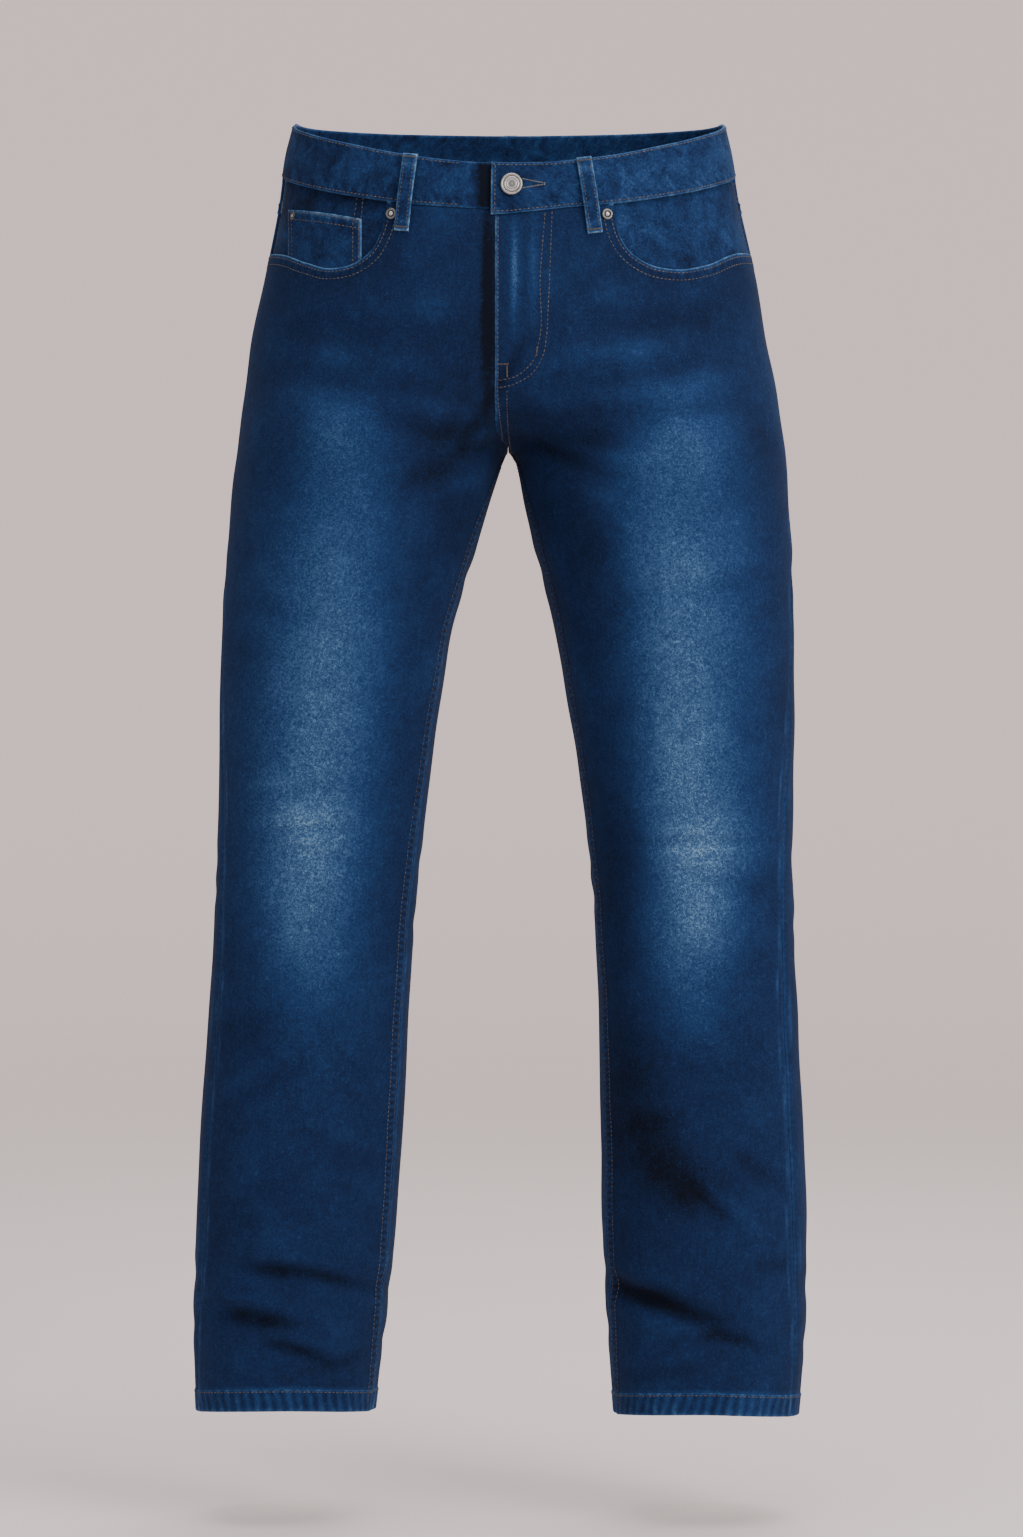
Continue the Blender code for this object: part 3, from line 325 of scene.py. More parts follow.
@dataclass(frozen=True)
class BodyForm:
    """The closed form that the cloth lies on: two legs of rounded sections that merge into a torso."""

    leg_power: float = 2.2
    torso_power: float = 2.35
    scale: float = 0.1
    crotch_blend: float = 0.006
    torso_heights: Span = (-0.235, -0.150)
    centre_x: float = -0.0015
    rise_centre: Span = (-0.005, -0.150)
    beyond: float = 0.4
    halvings: int = 30

    def section(self, height: Array, name: str) -> Array:
        """Where one side of the level section at a height lies, in metres."""
        return SECTIONS.curve(name, height)

    def outside(self, x: Array, y: Array, low: Array, high: Array, front: Array, back: Array,
                power: float) -> Array:
        """How far a point lies outside a superellipse: scale * ((|x|^p + |y|^p)^(1/p) - 1)."""
        across = np.abs(x - (low + high) / 2) / ((high - low) / 2)
        along = np.abs(y - (front + back) / 2) / ((back - front) / 2)
        return self.scale * ((across**power + along**power) ** (1 / power) - 1)

    def field(self, points: Array) -> Array:
        """Negative inside the form: the smooth minimum of two legs, which turns into one torso."""
        x, y, z = np.moveaxis(points, -1, 0)
        front, back = self.section(z, "front"), self.section(z, "back")
        outer_r, outer_l = self.section(z, "right_outer"), self.section(z, "left_outer")
        right = self.outside(x, y, outer_r, self.section(z, "right_inner"), front, back, self.leg_power)
        left = self.outside(x, y, self.section(z, "left_inner"), outer_l, front, back, self.leg_power)
        blend = self.crotch_blend
        legs = np.minimum(right, left) - blend * np.log1p(np.exp(-np.abs(right - left) / blend))
        torso = self.outside(x, y, outer_r, outer_l, front, back, self.torso_power)
        share = smoothstep(z, *self.torso_heights)
        return legs * (1 - share) + torso * share

    def normal(self, points: Array) -> Array:
        """The outward unit normal, from the field's slope along each axis."""
        step = 0.4 * MM
        slopes = [self.field(points + step * axis) - self.field(points - step * axis)
                  for axis in np.eye(3)]
        return unit(np.stack(slopes, axis=-1))

    def leave(self, start: Array, direction: Array, limit: Array | None = None) -> Array:
        """The point where each ray leaves the form, found by halving.

        Args:
            start: points inside the form.
            direction: unit directions.
            limit: how far each ray may go.

        Returns:
            The points on the form, or each ray's end if it stays inside.
        """
        shape = np.broadcast_shapes(start.shape, direction.shape)[:-1]
        near, far = np.zeros(shape), np.full(shape, self.beyond if limit is None else limit)
        for _ in range(self.halvings):
            half = (near + far) / 2
            inside = self.field(start + direction * half[..., None]) < 0
            near, far = np.where(inside, half, near), np.where(inside, far, half)
        return start + direction * near[..., None]

    def leg_centre(self, side: Side, height: Array) -> tuple[Array, Array]:
        """The x and y of the point that angles on one half are measured about."""
        name = side.name.lower()
        outer, inner = self.section(height, name + "_outer"), self.section(height, name + "_inner")
        inner = np.where(side * inner > side * self.centre_x, inner, self.centre_x)
        return (outer + inner) / 2, (self.section(height, "front") + self.section(height, "back")) / 2

    def around(self, side: Side, angle: Array, height: Array) -> Array:
        """Points of one half at an angle about its leg: 0 inwards, 90 front, 180 outwards, 270 back."""
        turn, height = np.broadcast_arrays(np.radians(angle), np.asarray(height, float))
        x, y = self.leg_centre(side, height)
        limit = np.minimum(np.abs(x - self.centre_x) / np.maximum(np.cos(turn), 1e-6), self.beyond)
        return self.leave(vectors(x, y, height), vectors(-side * np.cos(turn), -np.sin(turn), 0.0), limit)

    def rise(self, x: Array, turn: Array) -> Array:
        """Points near the centre seam: a turn of 0 is the front, 90 straight down and 180 the back."""
        turn = np.radians(turn)
        return self.leave(vectors(x, *self.rise_centre), vectors(0.0, -np.cos(turn), -np.sin(turn)))

    def torso(self, azimuth: Array, height: Array) -> Array:
        """Points of the torso at an azimuth in degrees, 0 in front and positive to the left."""
        turn = np.radians(azimuth)
        return self.leave(vectors(0.0, 0.0, height), vectors(np.sin(turn), -np.cos(turn), 0.0))

    def facing(self, face: Face, x: Array, height: Array) -> Array:
        """Points straight ahead of x, or straight behind it."""
        return self.leave(vectors(x, 0.0, height), np.array([0.0, float(face), 0.0]))

    def rim(self, azimuth: Array, seam: Seam) -> Array:
        """The height of a seam round the top at an azimuth in degrees."""
        turned = np.abs((np.asarray(azimuth, float) + 180) % 360 - 180)
        return RIM.curve(seam.value, turned)

    def seam_angle(self, side: Side, height: Array, name: str) -> Array:
        """The angle of an outseam or inseam about its leg, in degrees."""
        return SEAMS.curve(f"{side.name.lower()}_{name}", height)

    def angle_of(self, side: Side, face: Face, points: Array) -> Array:
        """The angle of each point about its leg, just under 0 or over 360 past the inner side."""
        x, y = self.leg_centre(side, points[..., 2])
        angle = np.degrees(np.arctan2(y - points[..., 1], side * (x - points[..., 0])))
        return (angle + 90) % 360 - 90 if face is Face.FRONT else (angle - 90) % 360 + 90


def azimuth_of(points: Array) -> Array:
    """The azimuth of each point in degrees, positive to the left."""
    return np.degrees(np.arctan2(points[..., 0], -points[..., 1]))


@dataclass(frozen=True)
class Relief:
    """How far the worn cloth lies off the form: folds, creases and a slow unevenness."""

    uneven: float = 0.32 * MM
    waves: int = 14
    lengths: Span = (38, 95)
    seed: int = 7
    turned_away: Span = (0.05, 0.6)

    def seen(self, facing: Facing, points: Array, normals: Array) -> tuple[Array, Array]:
        """What runs across as seen from a way, and how far the cloth faces that way, from 0 to 1."""
        across = points[..., 0] if facing in (Facing.FRONT, Facing.BACK) else points[..., 1]
        return across, smoothstep(normals @ np.array(facing.value), *self.turned_away)

    def __call__(self, points: Array, normals: Array) -> Array:
        """How far out the cloth lies along each normal, in metres: its folds and its creases."""
        return self.folds(points, normals) + self.creases(points, normals)

    def folds(self, points: Array, normals: Array) -> Array:
        """The large folds, each -depth * exp(-(s / reach)^2 - (t / width)^2), t off its line."""
        out = np.zeros(points.shape[:-1])
        for facing, rows in FOLDS.items():
            across, shown = self.seen(facing, points, normals)
            for x, height, reach, width, depth, slope in rows:
                s = across - x * MM
                t = points[..., 2] - height * MM - slope * s
                out -= depth * MM * shown * (bell(s, reach * MM) * bell(t, width * MM))
        return out

    def creases(self, points: Array, normals: Array) -> Array:
        """The small creases and the cloth's slow unevenness.

        A crease has a soft ridge on either side: -e(t) + 0.45 e(t - 1.9) + 0.3 e(t + 1.8), with e a
        bell and t in widths, and it ends softly as exp(-s^4).
        """
        out = np.zeros(points.shape[:-1])
        for facing, rows in CREASES.items():
            across, shown = self.seen(facing, points, normals)
            for x, height, reach, width, depth, slope, bend in rows:
                s = (across - x * MM) / (reach * MM)
                rise = (slope * reach * s + bend * s * s) * MM
                t = (points[..., 2] - height * MM - rise) / (width * MM)
                shape = -bell(t, 1) + 0.45 * bell(t - 1.9, 0.9) + 0.3 * bell(t + 1.8, 0.9)
                out += depth * MM * shown * np.exp(-(s**4)) * shape
        return out + self.unevenness(points)

    def unevenness(self, points: Array) -> Array:
        """A sum of seeded sine waves, 38 to 95 mm long, in scattered directions."""
        random = np.random.default_rng(self.seed)
        total = np.zeros(points.shape[:-1])
        for _ in range(self.waves):
            way = unit(random.normal(size=3) * np.array([1, 1, 0.8]))
            length = random.uniform(*self.lengths) * MM
            total += np.sin(points @ way * 2 * np.pi / length + random.uniform(0, 2 * np.pi))
        return self.uneven * total / math.sqrt(self.waves / 2)

    def worn(self, points: Array, normals: Array) -> Array:
        """How far the indigo is worn away, with painted shade and light added: exp(-|t|^2.2) across each
        leg's band, and bells for spots, of which the negative ones are painted shade.
        """
        z = points[..., 2]
        width = BANDS.curve("half_width", z)
        across, ahead = self.seen(Facing.FRONT, points, normals)
        total = np.zeros(z.shape)
        for name in ("right", "left"):
            off = np.abs((across - BANDS.curve(name + "_across", z)) / width)
            total += BANDS.curve(name + "_worn", z) * ahead * np.exp(-off**2.2)
        # Negative spots are painted shade in the folds, the crotch, between the legs and beside the fly; one
        # faint spot on the hip is painted light.
        for facing, rows in WEAR_AND_SHADING_SPOTS.items():
            across, shown = self.seen(facing, points, normals)
            for x, height, reach, rise, worn in rows:
                total += worn * shown * bell(across - x * MM, reach * MM) * bell(z - height * MM, rise * MM)
        return total


FORM = BodyForm()
RELIEF = Relief()


# ------------------------------------------------------------------ meshes


class Sheet:
    """A grid of points on the form, rows by columns, and the cloth that lies on it.

    Attributes:
        points: where the grid lies on the form.
        normals: the form's normals there.
        relief: how far the worn cloth lies off the form.
        first: how far along its row each point lies from the first column.
        last: the same from the last column.
        up: how far up its column each point lies from the lowest row.
        down: how far down its column it lies from the highest row.
    """

    def __init__(self, points: Array) -> None:
        """Reads the form under the grid and measures along the grid's lines."""
        self.points, self.normals = points, FORM.normal(points)
        self.relief = RELIEF(points, self.normals)
        self.first, self.last = run(points, 1), run(points, 1, back=True)
        self.up, self.down = run(points, 0), run(points, 0, back=True)

    def fill(self, out: Array, cloth: Array | float, wear: Array | float, fade: Array | float,
             pucker: Array | float) -> "Sheet":
        """States the cloth at each point.

        Args:
            out: how far its outer face stands off the form.
            cloth: how thick it is.
            wear: how far its edges and ridges are rubbed, 0 to 1.
            fade: how far its indigo is worn away, about 0 to 1, lowered where shade is painted in and raised
                where light is painted in.
            pucker: how strongly its sewing gathers it: up to 1 along its rows, down to -1 up its columns.

        Returns:
            The sheet itself.
        """
        self.out, self.cloth, self.wear, self.fade, self.pucker = (
            np.broadcast_to(value, self.points.shape[:2]).astype(float)
            for value in (out, cloth, wear, fade, pucker))
        return self

    def beside(self) -> Array:
        """How far each point lies from the nearer of the first and the last column."""
        return np.minimum(self.first, self.last)

    def line(self, edge: Edge, distance: float) -> Array:
        """The line of points that lies a distance inside an edge, measured along the grid's lines."""
        points, reach = self.points, getattr(self, edge.value)
        if edge is Edge.LAST:
            points, reach = points[:, ::-1], reach[:, ::-1]
        if edge is Edge.TOP:
            points, reach = points[::-1], reach[::-1]
        if edge in (Edge.LOW, Edge.TOP):
            points, reach = points.transpose(1, 0, 2), reach.T
        return at_distance(points, reach, distance)

    def outer(self) -> Array:
        """The points of the outer face."""
        return self.points + self.normals * self.out[..., None]

    def flat(self) -> tuple[tuple[float, float], float]:
        """The width and length of the cut, as the longest run each way on the cloth, and its area."""
        outer = self.outer()
        width = run(outer, 1)[:, -1].max()
        length = run(outer, 0)[-1].max()
        a, b = np.diff(outer, axis=0)[:, :-1], np.diff(outer, axis=1)[:-1]
        area = np.linalg.norm(np.cross(a, b), axis=-1).sum()
        return (float(width), float(length)), float(min(area, width * length))


def run(points: Array, axis: int, back: bool = False) -> Array:
    """The distance along a line or a grid's lines from their first points, or from their last.

    Args:
        points: a line or a grid of points.
        axis: 0 for along a line or up a grid's columns, 1 for along its rows.
        back: whether to measure from the far end.

    Returns:
        The distance at each point.
    """
    step = np.linalg.norm(np.diff(points, axis=axis), axis=-1)
    pad = [(1, 0) if i == axis else (0, 0) for i in range(step.ndim)]
    total = np.cumsum(np.pad(step, pad), axis=axis)
    return np.take(total, [-1], axis=axis) - total if back else total


def at_distance(points: Array, reach: Array, distance: float) -> Array:
    """The point on each row of a grid that lies a distance along it.

    Args:
        points: a grid of points.
        reach: how far along its row each point lies.
        distance: the distance wanted.

    Returns:
        One point for each row.
    """
    rows = np.arange(len(points))
    after = np.clip(np.argmax(reach >= distance, axis=1), 1, None)
    low, high = reach[rows, after - 1], reach[rows, after]
    share = np.clip((distance - low) / (high - low), 0, 1)[:, None]
    return points[rows, after - 1] * (1 - share) + points[rows, after] * share


def rolled(distance: Array, radius: float) -> Array:
    """How far a turned edge falls away: radius - sqrt(radius^2 - (radius - distance)^2) near it."""
    near = np.clip(1 - distance / radius, 0, 1)
    return radius * (1 - np.sqrt(np.maximum(1 - near * near, 0)))


def quads(rows: int, columns: int, start: int = 0) -> Array:
    """The faces of a grid whose points are numbered along its rows."""
    first = start + np.arange(rows - 1)[:, None] * columns + np.arange(columns - 1)
    return np.stack([first, first + 1, first + 1 + columns, first + columns], axis=-1).reshape(-1, 4)


def mesh_object(name: str, points: Array, faces: Array, finishes: list[bpy.types.Material],
                sharp: float = 50, caps: Array = np.empty((0, 3))) -> bpy.types.Object:
    """Makes an object of four-sided faces and three-sided caps, shaded smooth up to an angle.

    Args:
        name: the piece's name.
        points: its vertices.
        faces: rows of four vertex numbers.
        finishes: its materials.
        sharp: the angle in degrees past which an edge stays sharp.
        caps: rows of three vertex numbers.

    Returns:
        The object, linked to the scene.
    """
    mesh = bpy.data.meshes.new(name)
    corners = np.concatenate([faces.ravel(), caps.ravel()]).astype(np.int32)
    starts = np.append(np.arange(len(faces)) * 4, faces.size + np.arange(len(caps)) * 3).astype(np.int32)
    mesh.vertices.add(len(points))
    mesh.vertices.foreach_set("co", np.asarray(points, np.float32).ravel())
    mesh.loops.add(corners.size)
    mesh.loops.foreach_set("vertex_index", corners)
    mesh.polygons.add(starts.size)
    mesh.polygons.foreach_set("loop_start", starts)
    mesh.polygons.foreach_set("use_smooth", np.ones(starts.size, bool))
    mesh.update(calc_edges=True)
    mesh.set_sharp_from_angle(angle=math.radians(sharp))
    for finish in finishes:
        mesh.materials.append(finish)
    piece = bpy.data.objects.new(name, mesh)
    bpy.context.scene.collection.objects.link(piece)
    return piece


def place_piece(piece: bpy.types.Object, node: str = "") -> None:
    """Gives a piece its place in the frame.

    Args:
        piece: the piece, which rides with the jeans.
        node: the solid that it replaces, if any.
    """
    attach(piece, "root")
    if node:
        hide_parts(node)


def point_values(piece: bpy.types.Object, name: str, values: Array) -> None:
    """Stores one number for each vertex under a name that the materials read."""
    stored = piece.data.attributes.new(name, "FLOAT", "POINT")
    stored.data.foreach_set("value", np.asarray(values, np.float32).ravel())


def cloth_map(piece: bpy.types.Object, along: Array) -> None:
    """Stores each vertex's place on the cloth, in metres across and up, as the piece's UV map."""
    loops = np.empty(len(piece.data.loops), np.int32)
    piece.data.loops.foreach_get("vertex_index", loops)
    layer = piece.data.uv_layers.new(name="cloth")
    layer.data.foreach_set("uv", np.asarray(along, np.float32)[loops].ravel())


class Cloth:
    """A piece of cloth that has been built, and what can be laid on it."""

    reach = 12 * MM
    pattern_shift = 3 * MM

    def __init__(self, name: str, sheet: Sheet, outside: "Denim", inside: "Denim") -> None:
        """Builds the closed shell of a sheet: its outer face, its inner face and their four edges.

        Args:
            name: the piece's name.
            sheet: its grid and thickness.
            outside: the finish of its outer face.
            inside: the finish of its inner face.
        """
        self.name, self.sheet = name, sheet
        rows, columns = sheet.points.shape[:2]
        outer = sheet.outer()
        inner = outer - sheet.normals * sheet.cloth[..., None]
        size = rows * columns
        front = quads(rows, columns)
        a, b = np.diff(outer, axis=1)[:-1], np.diff(outer, axis=0)[:, :-1]
        turned = float((np.cross(a, b) * sheet.normals[:-1, :-1]).sum()) < 0
        index = np.arange(size).reshape(rows, columns)
        edge = np.concatenate([index[0, :-1], index[:-1, -1], index[-1, :0:-1], index[::-1, 0]])
        rim = vectors(edge[:-1] + size, edge[1:] + size, edge[1:], edge[:-1])
        faces = np.concatenate([front, quads(rows, columns, size)[:, ::-1], rim])
        if turned:
            faces = faces[:, ::-1]
        points = np.concatenate([outer.reshape(-1, 3), inner.reshape(-1, 3)])
        self.piece = mesh_object(name, points, faces, [outside.material(), inside.material()])
        kinds = np.zeros(len(faces), np.int32)
        kinds[len(front):2 * len(front)] = 1
        self.piece.data.polygons.foreach_set("material_index", kinds)
        for label in ("wear", "fade", "pucker"):
            point_values(self.piece, label, np.tile(getattr(sheet, label).ravel(), 2))
        across = sheet.first + self.pattern_shift * len(name)
        cloth_map(self.piece, np.tile(np.stack([across, sheet.up], axis=-1).reshape(-1, 2), (2, 1)))
        self.tree = BVHTree.FromPolygons(outer.reshape(-1, 3).tolist(), front.tolist())

    def lay(self, points: Array, normals: Array) -> tuple[Array, Array]:
        """Drops points on to the outer face along their normals.

        Args:
            points: points near the cloth.
            normals: the form's normals there.

        Returns:
            The points on the cloth and the cloth's normals.
        """
        found, leaning = [], []
        for point, normal in zip(points.reshape(-1, 3), normals.reshape(-1, 3)):
            start = Vector(point + normal * self.reach)
            place, lean, _, _ = self.tree.ray_cast(start, Vector(-normal), 2 * self.reach)
            if place is None:
                place, lean, _, _ = self.tree.find_nearest(Vector(point))
            lean = np.array(lean)
            found.append(np.array(place))
            leaning.append(lean if lean @ normal > 0 else -lean)
        return np.array(found).reshape(points.shape), unit(np.array(leaning)).reshape(points.shape)

    def dress(self, slot: str, rests_on: list[str], *sewn: "Sewing") -> None:
        """Gives the piece the place of the solid of its name and states how its cloth was cut.

        Args:
            slot: the record's material slot; not used.
            rests_on: what carries it; not used.
            sewn: the stitches on it.
        """
        place_piece(self.piece, self.name)
        flat, area = self.sheet.flat()
        pieces = [sewing.piece() for sewing in sewn]
        LOG.info("%s: cut %.0f x %.0f mm", self.name, flat[0] / MM, flat[1] / MM)


# ------------------------------------------------------------------ shader maths


class Value:
    """A shader socket that Python's operators work on; each adds one Math node."""

    def __init__(self, shader: "Shader", socket: bpy.types.NodeSocket) -> None:
        """Keeps the socket and the shader that it belongs to."""
        self.shader, self.socket = shader, socket

    def maths(self, operation: str, *others: "Value | float") -> "Value":
        """One Math node with this value first."""
        return self.shader.node("ShaderNodeMath", {"operation": operation},
                                dict(enumerate((self, *others))))

    def __add__(self, other: "Value | float") -> "Value":
        """This plus another."""
        return self.maths("ADD", other)

    __radd__ = __add__

    def __mul__(self, other: "Value | float") -> "Value":
        """This times another."""
        return self.maths("MULTIPLY", other)

    __rmul__ = __mul__

    def __sub__(self, other: "Value | float") -> "Value":
        """This less another."""
        return self.maths("SUBTRACT", other)

    def __rsub__(self, other: float) -> "Value":
        """A number less this."""
        return self * -1 + other

    def __abs__(self) -> "Value":
        """This without its sign."""
        return self.maths("ABSOLUTE")

    def sine(self) -> "Value":
        """The sine of this, in radians."""
        return self.maths("SINE")

    def clamped(self) -> "Value":
        """This held between 0 and 1."""
        return self.maths("MAXIMUM", 0.0).maths("MINIMUM", 1.0)

    def between(self, low: float, high: float) -> "Value":
        """0 at low and 1 at high, level at both."""
        settings = {"interpolation_type": "SMOOTHSTEP"}
        return self.shader.node("ShaderNodeMapRange", settings, {0: self, 1: low, 2: high, 3: 0.0, 4: 1.0})


class Shader:
    """One material's node tree, built from formulas."""

    made: dict[str, bpy.types.Material] = {}

    def __init__(self, name: str) -> None:
        """Starts a material of that name, with its Principled shader ready."""
        self.material = self.made[name] = bpy.data.materials.new(name + "_finish")
        self.material.use_nodes = True
        self.nodes = self.material.node_tree.nodes
        self.links = self.material.node_tree.links
        self.principled = self.nodes["Principled BSDF"]

    def node(self, kind: str, settings: dict, inputs: dict, output: int | str = 0) -> Value:
        """Adds one node.

        Args:
            kind: the node's type.
            settings: its own properties, set first.
            inputs: values or links by socket name or number.
            output: the output socket that is returned.

        Returns:
            The output as a value.
        """
        made = self.nodes.new(kind)
        for name, value in settings.items():
            if name == "stops":
                self.set_stops(made.color_ramp, value)
            else:
                setattr(made, name, value)
        for name, value in inputs.items():
            self.feed(made.inputs[name], value)
        return Value(self, made.outputs[output])

    def feed(self, socket: bpy.types.NodeSocket, value: "Value | float | Colour") -> None:
        """Links or sets one socket."""
        if isinstance(value, Value):
            self.links.new(value.socket, socket)
        elif isinstance(value, tuple) and len(value) == 3 and socket.type == "RGBA":
            socket.default_value = (*value, 1.0)
        else:
            socket.default_value = value

    def set_stops(self, ramp: bpy.types.ColorRamp, stops: tuple) -> None:
        """Sets a ramp's stops, each a place and a colour, from 0 to 1."""
        for place, _ in stops[1:-1]:
            ramp.elements.new(place)
        for element, (_, colour) in zip(ramp.elements, stops):
            element.color = (*colour, 1.0)

    def place(self, scale: Place = (1.0, 1.0, 1.0), turn: float = 0.0) -> Value:
        """The place on the cloth in metres, stretched and turned."""
        start = self.node("ShaderNodeUVMap", {"uv_map": "cloth"}, {})
        return self.node("ShaderNodeMapping", {}, {"Vector": start, "Scale": scale,
                                                   "Rotation": (0.0, 0.0, math.radians(turn))})

    def along(self, where: Value, axis: int = 0) -> Value:
        """One coordinate of a place."""
        return self.node("ShaderNodeSeparateXYZ", {}, {0: where}, axis)

    def solid_place(self) -> Value:
        """The place in the piece's own coordinates."""
        return self.node("ShaderNodeTexCoord", {}, {}, "Object")

    def stored(self, name: str) -> Value:
        """A number that is stored at each vertex."""
        settings = {"attribute_type": "GEOMETRY", "attribute_name": name}
        return self.node("ShaderNodeAttribute", settings, {}, "Fac")

    def noise(self, where: Value, scale: float, detail: float = 2.0, twist: float = 0.0) -> Value:
        """Soft noise between 0 and 1."""
        inputs = {"Vector": where, "Scale": scale, "Detail": detail, "Distortion": twist}
        return self.node("ShaderNodeTexNoise", {}, inputs, "Fac")

    def blend(self, share: "Value | float", one: "Value | Colour", other: "Value | Colour") -> Value:
        """A colour between two others."""
        return self.node("ShaderNodeMix", {"data_type": "RGBA"}, {0: share, 6: one, 7: other}, 2)

    def ramp(self, share: Value, stops: tuple) -> Value:
        """A colour from a ramp."""
        return self.node("ShaderNodeValToRGB", {"stops": stops}, {"Fac": share})

    def bump(self, height: Value, distance: float, strength: float) -> Value:
        """A normal that follows a height."""
        return self.node("ShaderNodeBump", {}, {"Height": height, "Distance": distance,
                                                "Strength": strength})

    def finish(self, **sockets: "Value | float | Colour") -> bpy.types.Material:
        """Feeds the Principled shader; an underscore in a name stands for a space."""
        for name, value in sockets.items():
            self.feed(self.principled.inputs[name.replace("_", " ")], value)
        return self.material


# ------------------------------------------------------------------ finishes


@dataclass(frozen=True)
class Finish:
    """What every finish has: a name, and a material that is made once."""

    name: str

    def material(self) -> bpy.types.Material:
        """The finish's material."""
        if self.name not in Shader.made:
            self.mix(Shader(self.name))
        return Shader.made[self.name]


@dataclass(frozen=True)
class Denim(Finish):
    """Indigo twill: dark warp that wears to pale blue, over a pale weft.

    Attributes:
        tone: how pale the cloth is where nothing has worn it, 0 to 1.
        grain: how strongly the yarns' uneven dye shows.
        blotch: how strongly soft patches of about a centimetre show.
        ramp: the colours from unworn to rubbed through.
        twill: the distance between two twill lines.
        pucker: the distance between two puckers along a row of stitches.
        dimple: the distance between two dimples up a column of stitches.
        roughness: the cloth's roughness.
    """

    tone: float = 0.2
    grain: float = 1.0
    blotch: float = 0.12
    ramp: tuple = (
        (0.0, (0.0012, 0.003, 0.0095)),
        (0.2, (0.0041, 0.0143, 0.0545)),
        (0.4, (0.0093, 0.035, 0.112)),
        (0.62, (0.0335, 0.084, 0.185)),
        (0.82, (0.096, 0.188, 0.325)),
        (1.0, (0.19, 0.31, 0.45)),
    )
    twill: float = 1.15 * MM
    pucker: float = 8.2 * MM
    dimple: float = 5.8 * MM
    roughness: float = 0.86

    def mix(self, shader: Shader) -> None:
        """Mixes the cloth: one tone from 0 to 1 reads the colour ramp, and its yarns make the bump.

        The tone is the sum of the worn bands, with the shade and light that are painted in with them, the
        dye's clouds, the mottle and pale worm-like marks that show most where the cloth is worn, a few hairs,
        the yarns, the twill's lines, the puckers and the rubbed edges.
        """
        fade, wear = shader.stored("fade"), shader.stored("wear")
        solid, cloth = shader.solid_place(), shader.place()
        cloud = shader.noise(solid, 16, 3.0)
        worms = 1 - abs(shader.noise(solid, 330, 1.0, 1.3) * 2 - 1).between(0.0, 0.17)
        hairs = 1 - abs(shader.noise(solid, 95, 1.0, 3.0) * 2 - 1).between(0.0, 0.06)
        hairs = hairs * shader.noise(solid, 190, 1.0).between(0.52, 0.6)
        mottle = shader.noise(solid, 520, 2.0)
        yarn = shader.noise(shader.place((900.0, 60.0, 1.0)), 1.0, 2.0)
        lines = (shader.noise(cloth, 260, 1.0) * 2.2
                 + shader.along(shader.place(turn=27.0)) * (2 * math.pi / self.twill)).sine()
        rubbed = (wear * (shader.noise(solid, 190, 3.0) * 1.7 + 0.1)).clamped()
        pucker = shader.stored("pucker")
        ripple = shader.noise(solid, 70, 2.0) * 3.5
        lean, climb = shader.along(shader.place(turn=14.0)), shader.along(cloth, 1)
        waves = ((lean * (2 * math.pi / self.pucker) + ripple).sine() * pucker.maths("MAXIMUM", 0.0)
                 + (climb * (2 * math.pi / self.dimple) + ripple).sine() * pucker.maths("MINIMUM", 0.0))
        # worn holds the worn indigo together with painted shade and light; below 0 it is painted shade, held
        # at -0.6.
        worn, grain = fade.maths("MAXIMUM", -0.6), self.grain
        tone = (worn * 0.56 + self.tone
                + (cloud - 0.5) * 0.13
                + (mottle - 0.5) * (worn.clamped() * 0.34 + 0.2) * grain
                + (worms - 0.27) * (worn.clamped() * 0.26 + 0.06) * grain
                + hairs * 0.1
                + (shader.noise(solid, 70, 3.0, 0.8) - 0.5) * self.blotch
                + (yarn - 0.5) * 0.1 * grain
                + lines * 0.012 * grain
                + waves * 0.078
                + rubbed * 0.56)
        relief = lines * 0.1 + mottle * 0.9 + worms * 0.35 + yarn * 0.25 + waves * 0.6
        shader.finish(
            Base_Color=shader.ramp(tone.clamped(), self.ramp),
            Roughness=self.roughness,
            Specular_IOR_Level=0.12,
            Sheen_Weight=0.025,
            Sheen_Roughness=0.45,
            Sheen_Tint=(0.55, 0.68, 0.9),
            Normal=shader.bump(relief, 0.3 * MM, 0.55),
        )


DENIM = Denim("denim")
FACING = Denim("denim_facing", tone=0.18, grain=1.2, blotch=0.5)
TRIM = Denim("denim_trim", tone=0.19, grain=1.15, blotch=0.55)
REVERSE = Denim("denim_reverse", tone=0.46, grain=0.7, ramp=(
    (0.0, (0.012, 0.026, 0.052)),
    (0.4, (0.09, 0.135, 0.19)),
    (0.7, (0.22, 0.28, 0.34)),
    (1.0, (0.48, 0.52, 0.56)),
))


@dataclass(frozen=True)
class ThreadFinish(Finish):
    """Spun topstitching thread, almost black and a little warm, with a painted highlight on each stitch's
    crown.
    """

    dark: Colour = (0.012, 0.0105, 0.013)
    pale: Colour = (0.108, 0.094, 0.089)

    def mix(self, shader: Shader) -> None:
        """Mixes the thread: paler on the crown of each stitch, which is a painted highlight, with the spun
        yarn as bump.
        """
        solid = shader.solid_place()
        # The stored tone is each stitch's own tone plus the painted highlight on its crown.
        tone = shader.stored("tone") * 0.75 + shader.noise(solid, 900, 2.0) * 0.35
        twist = shader.noise(solid, 2600, 1.0)
        shader.finish(
            Base_Color=shader.blend(tone.clamped(), self.dark, self.pale),
            Roughness=0.72,
            Specular_IOR_Level=0.35,
            Normal=shader.bump(twist, 0.12 * MM, 0.6),
        )


THREAD = ThreadFinish("topstitch_thread")
GREY_THREAD = ThreadFinish("buttonhole_thread", (0.022, 0.024, 0.032), (0.165, 0.16, 0.165))


